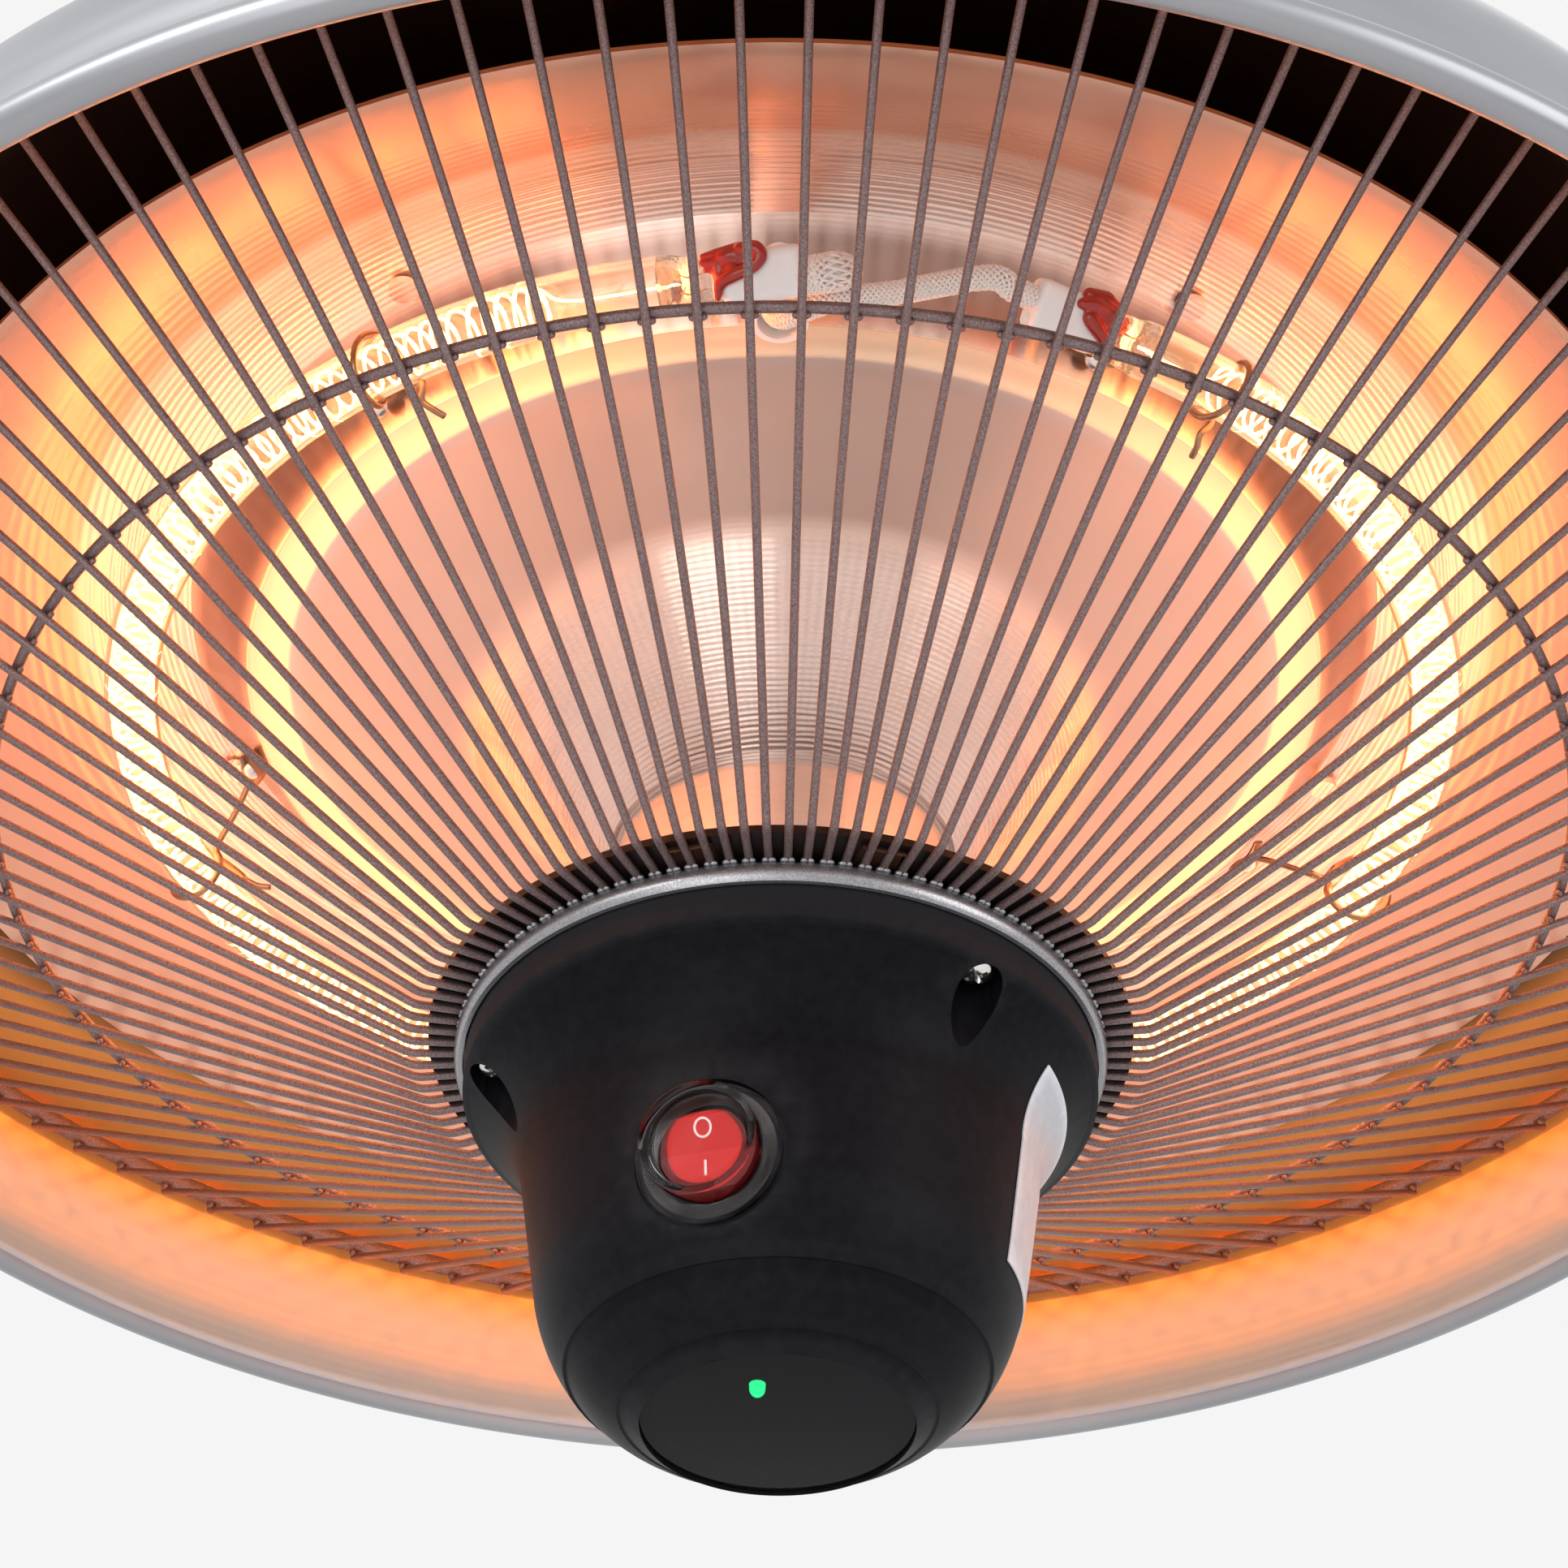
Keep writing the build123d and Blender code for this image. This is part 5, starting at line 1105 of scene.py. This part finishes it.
pinchFacts = {
    # Distance out along the tube, half sizes, squareness and roughness of each section
    "sections": (
        (0.0, 4.95, 4.95, 2.0, 0.0), (1.2, 4.9, 4.7, 2.0, 0.1), (2.4, 4.7, 4.0, 2.1, 0.35),
        (3.6, 4.5, 2.9, 2.3, 0.55), (4.8, 4.4, 2.0, 2.6, 0.5), (6.0, 4.3, 1.6, 3.0, 0.35),
        (7.2, 4.2, 1.5, 3.2, 0.25), (8.6, 4.0, 1.4, 3.2, 0.15),
    ),
    "foilPlaces": (-1.5, 1.2), "foilSteps": (2.6, 4.2, 5.8, 7.6), "foilSizes": (0.35, 0.9, 0.9, 0.4),
    "foilFlat": 0.2, "crumple": 1.3, "seeds": {"Right": 3, "Left": 7},
}


def makePinches(lamp, facts):
    foils = []
    for atStart, side in lampSides:
        origin, out, broad, inner = lampEnd(lamp, atStart)
        rings = []
        for along, halfBroad, halfThin, power, rough in facts["sections"]:
            ring = roundedSection(origin + out * (along * mm), broad, inner, halfBroad, halfThin, power)
            rings.append(crumple(ring, facts["crumple"], rough, facts["seeds"][side]))
        piece = loft(f"lampPinch{side}", rings, 60)
        piece.visible_shadow = False
        settle(piece, finishes["pinchGlass"], replaced=["lamp_pinches"] if atStart else [])
        for shift in facts["foilPlaces"]:
            places = [(a * mm, (shift + 0.3 * math.sin(a)) * mm) for a in facts["foilSteps"]]
            strip = [origin + out * along + broad * across for along, across in places]
            foils.append((strip, [size * mm for size in facts["foilSizes"]]))
    settle(addTubes("lampFoils", foils, 8, 50, facts["foilFlat"]), finishes["foil"])


ceramicFacts = {
    "half": (4.4, 3.1), "power": 4.2,
    "startSteps": ((0, 1.3), (0.35, 0.55), (1.1, 0.12), (2.0, 0)),    # how far along, and how much smaller
    "endSteps": ((-1.2, 0), (-0.5, 0.15), (-0.12, 0.5), (0, 1.0)),
    "notch": 1.7, "notchDepth": 3.2, "notchPlace": 3.4,
}


def makeCeramics(lamp, facts):
    first, last = lamp["ceramicStart"], lamp["ceramicEnd"]
    steps = [(first + a, shrink) for a, shrink in facts["startSteps"]]
    steps += [(last + a, shrink) for a, shrink in facts["endSteps"]]
    for atStart, side in lampSides:
        origin, out, broad, inner = lampEnd(lamp, atStart)
        rings = []
        for along, shrink in steps:
            centre = origin + out * (along * mm)
            halves = [half - shrink for half in facts["half"]]
            rings.append(roundedSection(centre, broad, inner, *halves, facts["power"], 48))
        piece = loft(f"lampCeramic{side}", rings, 50)
        if atStart:
            mouth = origin + out * ((last - facts["notchDepth"]) * mm) - broad * (facts["notchPlace"] * mm)
            drill(piece, [mouth, mouth + out * (6 * mm)], facts["notch"], 32, 50)
        settle(piece, finishes["ceramic"], replaced=["lamp_ceramics"] if atStart else [])


# Red silicone by end: fingers as (points along, broad, inner) with their radii, and balls with half axes
sealShapes = {
    "Left": (
        (((7.4, 4.0, -1.2), (10.4, 4.2, -1.6), (14.0, 4.6, -2.2)), (0.5, 1.0, 1.2)),
        (((7.2, 2.9, -1.4), (10.4, 2.9, -2.0), (14.0, 3.2, -2.8)), (0.5, 0.95, 1.1)),
        (((7.6, 1.7, -1.3), (10.2, 1.6, -1.9), (12.6, 1.7, -3.0)), (0.45, 0.85, 1.0)),
        (((12.4, 3.6, -1.5),), (3.2, 1.6, 2.2)), (((16.0, 3.9, -2.6),), (1.7, 1.5, 1.4)),
        (((10.0, 1.2, -0.6),), (1.4, 3.2, 2.4)),
        (
            ((14.0, 4.5, -3.0), (16.4, 4.3, -3.4), (17.1, 2.8, -3.6), (15.4, 1.3, -3.8), (12.6, 0.4, -3.7),
             (10.2, -0.7, -3.0), (9.4, -3.0, -2.2)),
            (1.1, 1.35, 1.25, 1.2, 1.25, 1.1, 0.55),
        ),
    ),
    "Right": (
        (((6.6, 3.0, -0.8), (9.6, 3.6, -1.6), (12.6, 3.9, -2.4)), (0.5, 1.0, 1.2)),
        (((6.4, 1.8, -0.9), (9.6, 2.2, -1.9), (13.0, 2.4, -2.9)), (0.5, 1.0, 1.2)),
        (((6.8, 0.7, -0.8), (9.6, 0.9, -1.9), (12.8, 0.9, -3.0)), (0.45, 0.9, 1.1)),
        (((10.6, 2.4, -1.6),), (3.4, 2.2, 2.0)), (((9.6, 0.6, -0.6),), (1.5, 3.4, 2.4)),
        (((9.0, 4.4, -1.4), (12.0, 4.9, -1.9), (15.4, 4.5, -2.6)), (0.9, 1.5, 1.3)),
        (((11.4, 3.4, -2.6), (14.2, 3.3, -3.2), (16.4, 2.6, -3.3)), (1.0, 1.4, 1.0)),
        (((13.6, 2.4, -2.8), (14.3, 1.0, -3.4), (12.6, -0.2, -3.6), (10.4, -1.4, -3.1), (8.6, -3.2, -2.2)),
         (1.2, 1.3, 1.3, 1.15, 1.0)),
        (((8.6, -3.2, -2.2), (7.6, -3.6, -1.6), (7.0, -2.8, -1.0)), (1.0, 0.8, 0.5)),
    ),
}


def makeSeals(facts):
    # Smeared silicone: fingers along the pinched end, a body, and claws over the ceramic
    for atStart, side in lampSides:
        origin, out, broad, inner = lampEnd(facts, atStart)
        balls = []
        for places, sizes in sealShapes[side]:
            points = [origin + out * (a * mm) + broad * (b * mm) + inner * (c * mm) for a, b, c in places]
            if len(points) == 1:
                axes = tuple(d * s * mm for d, s in zip((out, broad, inner), sizes))
                balls.append((points[0], axes))
                continue
            path = smoothPath(points, 10)
            for place, radius in zip(path, blendValues(sizes, len(path))):
                balls.append((place, (out * radius * mm, broad * radius * mm, inner * radius * mm)))
        piece = addBalls(f"lampSeal{side}", balls, 8, 12)
        fuse(piece, 0.28 * mm, 3)
        settle(piece, finishes["silicone"], replaced=["lamp_boots"] if atStart else [])


def braid(name, path, radii, strands, pitch, thread):
    # Woven sleeve: two sets of threads that wind opposite ways, over and under each other
    lengths = [0.0]
    for a, b in zip(path, path[1:]):
        lengths.append(lengths[-1] + (b - a).length)
    frames = []
    side = Vector((0, 0, 1))
    for i in range(len(path)):
        pull = (path[min(i + 1, len(path) - 1)] - path[max(i - 1, 0)]).normalized()
        side = (side - pull * side.dot(pull)).normalized()
        frames.append((side.copy(), pull.cross(side)))
    points, faces = tubeParts(path, [r - thread * 1.2 for r in radii], 20)
    for way in (-1, 1):
        for k in range(strands):
            route = []
            for place, radius, length, (sideDir, otherDir) in zip(path, radii, lengths, frames):
                turn = 2 * math.pi * (k / strands + way * length / pitch)
                reach = radius + way * 0.6 * thread * math.cos(math.pi * 2 * strands * length / pitch)
                route.append(place + (sideDir * math.cos(turn) + otherDir * math.sin(turn)) * reach)
            morePoints, moreFaces = tubeParts(route, thread, 5, len(points))
            points += morePoints
            faces += moreFaces
    return addMesh(name, points, faces, 60)


leadFacts = {
    "inside": 1.0, "apart": 1.9, "bushTop": 98.8,
    # By side: where it leaves the ceramic, steps out and across from there, places with azimuths from the
    # front, steps forward and up to the bush, radii, and the weave as strands, pitch and thread
    "Right": {
        "offset": 0.6, "straight": ((0, 0), (5, 0), (10, 0)), "rise": ((0, 86),),
        "places": (
            (117.6, 7.5, 68.6), (115.4, 3.4, 68.6), (111.6, 0.6, 69.4), (107.4, -1.0, 72.0),
            (103.8, -2.0, 77.5),
        ),
        "radii": (1.75, 1.8, 1.75, 1.7, 1.7, 1.7, 1.65, 1.6, 1.6, 1.6), "weave": (10, 9.0, 0.3),
    },
    "Left": {
        "offset": -1.0, "straight": ((0, 0), (3.2, 0), (6.4, 0.1)), "rise": ((1.0, 79.0), (0, 84)),
        "places": ((115.4, 3.9, 74.4), (109.6, 1.0, 77.4)),
        "radii": (2.7, 2.9, 2.9, 2.3, 1.9, 1.7, 1.6, 1.6), "weave": (14, 12.0, 0.32),
    },
}


def makeLeads(lamp, facts, bushPlace):
    bush = spot(*bushPlace[:2], facts["bushTop"])
    for atStart, side in lampSides:
        lead = facts[side]
        origin, out, broad = lampEnd(lamp, atStart)[:3]
        apart = Vector(((-1 if atStart else 1) * facts["apart"] * mm, 0, 0))
        start = origin + out * ((lamp["ceramicEnd"] - facts["inside"]) * mm) + broad * (lead["offset"] * mm)
        route = [start + out * a * mm + broad * b * mm for a, b in lead["straight"]]
        route += [spot(r, front + azimuth, h) for r, azimuth, h in lead["places"]]
        route += [Vector((bush.x, bush.y - y * mm, level(h))) + apart for y, h in lead["rise"]]
        path = smoothPath([*route, bush + apart], 40)
        radii = [r * mm for r in blendValues(lead["radii"], len(path))]
        strands, pitch, thread = lead["weave"]
        piece = braid(f"lampLead{side}", path, radii, strands, pitch * mm, thread * mm)
        settle(piece, finishes["sleeving"], replaced=[f"lamp_lead_{side.lower()}"])


clipFacts = {
    "azimuths": (-111.0, -36.0, 37.0, 111.0), "wire": 0.6, "hoop": 5.75, "hoopStart": 150, "hoopStep": 27,
    # Points as (away from the axis, along the tube, up), from the tube's middle
    "feet": ((-15.6, -15.5, 12.6), (-14.4, -12.0, 11.0), (-11.0, -8.0, 8.0), (-8.0, -5.4, 5.6)),
    "tail": ((-6.2, 4.2, 1.8), (-7.6, 4.8, 0.2), (-9.0, 3.6, -1.6), (-10.8, 4.6, -2.6), (-13.0, 5.6, -2.9)),
    "bracket": (
        (-15.9, -18.5, 12.9), (-15.9, -16.6, 12.3), (-15.9, -14.0, 12.0), (-15.9, -11.6, 12.3),
        (-15.9, -9.8, 13.2),
    ),
    "bracketSize": (2.4, 0.24),    # half width, and its thickness as a share of it
    "head": (-15.2, -15.0, 11.4), "headSteps": ((0.0, 2.1), (0.5, 1.9), (0.9, 1.3), (1.1, 0.5)),
}


def makeClips(facts, lamp):
    # Bent spring wire: bracket on the reflector, a hoop round the tube and a loose tail
    perDegree = math.pi / 180 * lamp["ring"]
    routes, brackets, heads = [], [], []
    for number, offset in enumerate(facts["azimuths"]):
        lean = 1 if number in (1, 2) else -1

        def at(across, along, height, azimuth=front + offset, lean=lean):
            return spot(lamp["ring"] + across, azimuth + lean * along / perDegree, lamp["height"] + height)

        hoop = []
        for k in range(13):
            turn = math.radians(facts["hoopStart"] + facts["hoopStep"] * k)
            hoop.append(at(facts["hoop"] * math.cos(turn), 0.5 * k - 3, facts["hoop"] * math.sin(turn)))
        feet, tail, bracket = ([at(*p) for p in facts[key]] for key in ("feet", "tail", "bracket"))
        routes.append((smoothPath(feet + hoop + tail, 5), facts["wire"] * mm))
        brackets.append((smoothPath(bracket, 4), facts["bracketSize"][0] * mm))
        across, along, height = facts["head"]
        head = [at(across + d, along, height - d) for d, size in facts["headSteps"]]
        heads.append((head, [size * mm for d, size in facts["headSteps"]]))
    wire, flat = finishes["springWire"], facts["bracketSize"][1]
    settle(addTubes("lampClips", routes, 10, 180), wire, replaced=["lamp_clips"])
    settle(addTubes("clipBrackets", brackets, 14, 50, flat), wire)
    settle(addTubes("clipHeads", heads, 20, 60), finishes["plainAluminium"])


makeTube(lampFacts)
makeFilament(lampFacts)
makePinches(lampFacts, pinchFacts)
makeCeramics(lampFacts, ceramicFacts)
makeSeals(lampFacts)
makeLeads(lampFacts, leadFacts, reflectorFacts["bush"])
makeClips(clipFacts, lampFacts)
print("lamp made")


# Switch: everything is placed on its own axis, which leans a little downwards
switchFacts = {"azimuth": front - 17.0, "tilt": 9.0, "reach": 38.9, "height": -46.5}


def switchPlace(facts):
    outward, across = sideways(facts["azimuth"])
    lean = math.radians(facts["tilt"])
    axis = outward * math.cos(lean) - Vector((0, 0, math.sin(lean)))
    return spot(facts["reach"], facts["azimuth"], facts["height"]), axis, across, axis.cross(across)


seat, switchAxis, switchAcross, switchUp = switchPlace(switchFacts)

capFacts = {
    # The cap's skin as (radius, height): flange, dome, its rolled rim, lid and hollow side
    "flange": ((11.45, 0.1), (12.1, 0.1)), "flangeEdge": ((11.75, 1.6), 0.5, -20, 80, 6),
    "dome": ((10.6, 2.35), (10.0, 2.75), (9.65, 3.6), (9.6, 7.6)), "rim": ((9.15, 8.4), 0.55, -20, 120, 8),
    "lid": ((8.4, 8.55), (7.5, 8.35), (0, 8.35)),
    "inside": ((0, 7.7), (7.6, 7.7), (8.35, 7.5), (8.7, 7.0), (8.7, 1.75), (11.4, 1.65)),
}


def makeSplashCap(facts):
    profile = [*facts["flange"], *sweepArc(*facts["flangeEdge"]), *facts["dome"], *sweepArc(*facts["rim"])]
    profile += [*facts["lid"], *facts["inside"]]
    place = placeAbout(seat, switchAcross, switchUp, switchAxis)
    piece = turnProfile("splashCap", profile, place, 128, True, 360.0, 40)
    settle(piece, finishes["clearCap"], replaced=["splash_cap"])
    piece.visible_shadow = False


rockerFacts = {
    "dark": (0.42, 0.004, 0.004), "light": (0.56, 0.010, 0.008), "dot": (0.42, 0.008, 0.006),
    "border": (0.10, 0.006, 0.006), "borderFrom": (6.2, 6.6), "dots": 14000.0, "dotShare": 0.35,
    "glow": 0.12, "specular": 0.15, "roughness": (0.22, 0.34),
    "ring": (1.35, 1.5, 3.2), "ringLine": 0.2, "bar": (-4.9, -4.2, -3.0, -2.2), "barLine": 0.23,
}


def rockerMaterial(facts):
    # Red translucent face with fine dots, a darker border and a faint painted glow
    material, tree, shader = newMaterial("redRocker")
    shift = addNode(tree, "ShaderNodeVectorMath")
    shift.operation = "SUBTRACT"
    feed(tree, shift.inputs[0], objectPlace(tree))
    shift.inputs[1].default_value = seat
    sides = []
    for direction in (switchAcross, switchUp):
        dot = tree.nodes.new("ShaderNodeVectorMath")
        dot.operation = "DOT_PRODUCT"
        feed(tree, dot.inputs[0], shift.outputs[0])
        dot.inputs[1].default_value = direction
        sides.append(dot.outputs["Value"])
    squares = [maths(tree, "MULTIPLY", side, side) for side in sides]
    radius = maths(tree, "MULTIPLY", maths(tree, "SQRT", maths(tree, "ADD", *squares)), 1000.0)
    border = remap(tree, radius, *facts["borderFrom"], 0, 1, True)
    waves = [maths(tree, "SINE", maths(tree, "MULTIPLY", side, facts["dots"])) for side in sides]
    dots = maths(tree, "MULTIPLY", *waves)
    cloud = useGroup(tree, "grain", Size=0.7)["Cloud"]
    red = mixColors(tree, cloud, facts["dark"], facts["light"])
    dotted = mixColors(tree, remap(tree, dots, 0.3, 0.9, 0, facts["dotShare"]), red, facts["dot"])
    color = mixColors(tree, border, dotted, facts["border"])
    feed(tree, shader.inputs["Base Color"], color)
    # Faint painted glow in the rocker's red
    feed(tree, shader.inputs["Emission Color"], color)
    shader.inputs["Emission Strength"].default_value = facts["glow"]
    feed(tree, shader.inputs["Roughness"], remap(tree, cloud, *noiseSpread, *facts["roughness"]))
    feed(tree, shader.inputs["Normal"], bump(tree, dots, 0.15, grainDepth))
    setPlain(shader, {"specular": facts["specular"]})
    return material


def makeRockerMarks(facts):
    # The ring and the bar, printed on the two halves of the rocker's face
    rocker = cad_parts["rocker"]
    toLocal = rocker.matrix_world.inverted()

    def onFace(x, y):
        above = seat + switchAcross * (x * mm) + switchUp * (y * mm) + switchAxis * (20 * mm)
        down = (toLocal.to_3x3() @ -switchAxis).normalized()
        place = rocker.ray_cast(toLocal @ above, down)[1]
        return rocker.matrix_world @ place + switchAxis * (0.02 * mm)

    wide, high, middle = facts["ring"]
    turns = [2 * math.pi * k / 40 for k in range(41)]
    ring = [onFace(wide * math.cos(t), middle + high * math.sin(t)) for t in turns]
    bar = [onFace(0.0, y) for y in facts["bar"]]
    piece = addTubes("rockerMarks", [(ring, facts["ringLine"] * mm), (bar, facts["barLine"] * mm)], 8, 180)
    settle(piece, finishes["whitePaint"], body="rocker")


makeSplashCap(capFacts)
makeRockerMarks(rockerFacts)
print("switch made")

screwFacts = {
    "seat": -8.3,
    "profile": (
        (0, 2.35), (1.4, 2.3), (2.5, 2.0), (3.2, 1.45), (3.55, 0.7), (3.6, 0.0), (1.75, 0.0), (1.75, -10.8),
        (0, -10.8),
    ),
    "spins": (25, 115), "recess": ((0.7, 1.3, 0.28), (2.6, 2.35, 0.5)),    # depth and half sizes
}


def makeScrews(facts, places):
    # Domed heads with crossed recesses
    for number, azimuth in enumerate(places["azimuths"]):
        centre = spot(places["radius"], azimuth, facts["seat"])
        place = placeAbout(centre, Vector((1, 0, 0)), Vector((0, 1, 0)), Vector((0, 0, -1)))
        piece = turnProfile(f"housingScrew{number + 1}", facts["profile"], place, 64, False, 360.0, 50)
        for spin in facts["spins"]:
            long, wide = sideways(spin + azimuth)
            rings = []
            for depth, half, thick in facts["recess"]:
                corners = ((half, thick), (-half, thick), (-half, -thick), (half, -thick))
                low = centre - Vector((0, 0, depth * mm))
                rings.append([low + long * (a * mm) + wide * (b * mm) for a, b in corners])
            cutAway(piece, loft("recessCutter", rings, 30), 45)
        replaced = ["housing_screws"] if number == 0 else []
        settle(piece, finishes["brightScrew"], replaced=replaced)


statusFacts = {
    "place": (-3.4, -3.4, -62.4), "radius": 1.35, "foot": 5.1, "neck": (1.3, 5.6), "dome": (0, 5.9),
    "footEnd": 5.2,
}


def makeStatusLight(facts):
    # Small dome of the status light on its dark foot, close behind the window
    x, y, height = facts["place"]
    centre = Vector((x * mm, y * mm, level(height)))
    profile = [(0, 0), (facts["radius"], 0), (facts["radius"], facts["foot"]), facts["neck"]]
    profile += sweepArc(facts["dome"], facts["neck"][0], 0, 90, 8)
    place = placeAbout(centre, Vector((1, 0, 0)), Vector((0, 1, 0)), Vector((0, 0, -1)))
    piece = turnProfile("statusLight", profile, place, 40, False, 360.0, 40)
    settle(piece, finishes["led"], replaced=["status_led"])
    piece.data.materials.append(finishes["cases"])
    for face in piece.data.polygons:
        if face.center.z > level(height - facts["footEnd"]):
            face.material_index = 1


tabFacts = {
    "azimuths": (front - 15.5, front + 15.5), "half": 3.4, "edge": 3.8,
    # Distance from the axis, height and half thickness of each section
    "sections": ((50.0, 0.9, 0.4), (58.6, 0.9, 0.4), (59.6, 0.6, 0.45), (60.0, -0.1, 0.45)),
}


def makeDiscTabs(facts):
    # Two bent tabs under the mounting disc, by the front wires
    half, edge = facts["half"], facts["edge"]
    for number, azimuth in enumerate(facts["azimuths"]):
        along = sideways(azimuth)[1]
        rings = []
        for reach, height, thick in facts["sections"]:
            centre = spot(reach, azimuth, height)
            corners = ((half, thick), (edge, 0), (half, -thick), (-half, -thick), (-edge, 0), (-half, thick))
            rings.append([centre + along * (a * mm) + Vector((0, 0, b * mm)) for a, b in corners])
        piece = loft(f"discTab{number + 1}", rings, 35)
        settle(piece, finishes["brownSteel"])


makeScrews(screwFacts, screwPlaces)
makeStatusLight(statusFacts)
makeDiscTabs(tabFacts)
print("screws, status light and tabs made")

# Pieces that keep their CAD shape, by finish
keptNodes = {
    "plainAluminium": ("reflector_neck",),
    "zinc": (
        "hanging_eye", "support_rod", "column_nuts", "column_washers", "spacer_tube", "screw_spacers",
        "board_screws", "reflector_clamp",
    ),
    "reflectorMetal": ("clip_rivets",),
    "blackSteel": ("mounting_disc",),
    "blackPlastic": ("top_cap", "housing_shell", "gland_body", "gland_nut"),
    "glossBlack": ("switch_body",),
    "silicone": ("gland_seal",),
    "ceramic": ("lead_bush", "lead_connector", "terminal_block"),
    "brass": ("terminal_screws", "switch_terminals", "contact_lever", "rocker_plunger"),
    "sheath": ("column_cable", "switch_wires"),
    "window": ("sensor_window",),
    "label": ("label_plate",),
    "redRocker": ("rocker",),
    "laminate": ("control_board",),
    "cases": ("infrared_receiver", "relay", "transformer", "capacitors"),
}
finishes["redRocker"] = rockerMaterial(rockerFacts)
for finish, nodes in keptNodes.items():
    dress(finishes[finish], *nodes)
print("frame pieces dressed")


# Stage and light
stageFacts = {
    "floor": -1.32, "size": 9.0, "dark": (0.90, 0.90, 0.90), "light": (0.92, 0.92, 0.92), "grain": 30.0,
    "roughness": 0.9, "tone": 0.913, "daylight": 0.84,    # of the room as it is seen, and as it lights
}
lightFacts = {
    # Place in metres, width and watts of each soft light
    "key": ((-0.95, -1.0, 0.35), 0.9, 9.0), "fill": ((1.2, -0.8, -0.1), 0.9, 5.0),
    "top": ((0.1, 0.5, 1.3), 1.2, 3.0), "low": ((-0.5, -1.15, -0.6), 0.9, 3.2), "aim": (0, 0, -0.15),
    "softLights": 32, "softWatts": 2.5, "softColor": (1.0, 0.28, 0.055),
    "glossLights": 72, "glossWatts": 0.5, "glossColor": (1.0, 0.30, 0.06), "coilLightSize": 4.0,
    "statusPlace": (-3.4, -3.0, -70.0), "statusWatts": 0.003, "statusSize": 0.8,
    "statusColor": (0.02, 1, 0.22),
}


def makeStage(facts):
    half = facts["size"] / 2
    corners = [(-half, -half), (half, -half), (half, half), (-half, half)]
    floor = addMesh("floor", [(x, y, facts["floor"]) for x, y in corners], [(0, 1, 2, 3)])
    material, tree, shader = newMaterial("paleFloor")
    grain = useGroup(tree, "grain", Size=facts["grain"])
    feed(tree, shader.inputs["Base Color"], mixColors(tree, grain["Cloud"], facts["dark"], facts["light"]))
    shader.inputs["Roughness"].default_value = facts["roughness"]
    floor.data.materials.append(material)
    world = bpy.data.worlds.new("paleRoom")
    bpy.context.scene.world = world
    world.use_nodes = True
    tree = world.node_tree
    tree.nodes.clear()
    out = tree.nodes.new("ShaderNodeOutputWorld")
    shown = addNode(tree, "ShaderNodeBackground", Color=(facts["tone"],) * 3)
    lit = addNode(tree, "ShaderNodeBackground", Color=(facts["daylight"],) * 3)
    path = tree.nodes.new("ShaderNodeLightPath")
    seen = maths(tree, "MAXIMUM", path.outputs["Is Camera Ray"], path.outputs["Is Transmission Ray"])
    seen = maths(tree, "MAXIMUM", seen, path.outputs["Is Glossy Ray"])
    mix = tree.nodes.new("ShaderNodeMixShader")
    tree.links.new(seen, mix.inputs[0])
    tree.links.new(lit.outputs[0], mix.inputs[1])
    tree.links.new(shown.outputs[0], mix.inputs[2])
    tree.links.new(mix.outputs[0], out.inputs[0])


def addLight(name, kind, place, power, size, color=(1, 1, 1)):
    data = bpy.data.lights.new(name, kind)
    data.energy = power
    data.color = color
    light = bpy.data.objects.new(name, data)
    bpy.context.scene.collection.objects.link(light)
    light.location = place
    if kind == "AREA":
        data.shape = "DISK"
        data.size = size
    else:
        data.shadow_soft_size = size
        light.visible_camera = False
        light.visible_transmission = False
    return light


def makeLights(facts, lamp):
    aim = Vector(facts["aim"])
    for name in ("key", "fill", "top", "low"):
        place, size, power = facts[name]
        made = addLight(f"{name}Light", "AREA", place, power, size)
        made.rotation_euler = (aim - Vector(place)).to_track_quat("-Z", "Y").to_euler()
    # The lit coil, as small lights along the lamp's ring: one set for soft light, one for shine
    begin, end = lamp["start"] + lamp["coilGap"][0], lamp["end"] - lamp["coilGap"][1]
    for kind in ("soft", "gloss"):
        count, watts, color = (facts[kind + key] for key in ("Lights", "Watts", "Color"))
        for k in range(count):
            place = spot(lamp["ring"], begin + (end - begin) * (k + 0.5) / count, lamp["height"])
            size = facts["coilLightSize"] * mm
            made = addLight(f"{kind}Coil{k + 1}", "POINT", place, watts / count, size, color)
            made.visible_glossy = kind == "gloss"
            made.visible_diffuse = kind == "soft"
    x, y, height = facts["statusPlace"]
    place, size = (x * mm, y * mm, level(height)), facts["statusSize"] * mm
    addLight("statusGlow", "POINT", place, facts["statusWatts"], size, facts["statusColor"])


makeStage(stageFacts)
makeLights(lightFacts, lampFacts)
bpy.context.scene.view_settings.view_transform = "Standard"
print("stage and lights made")
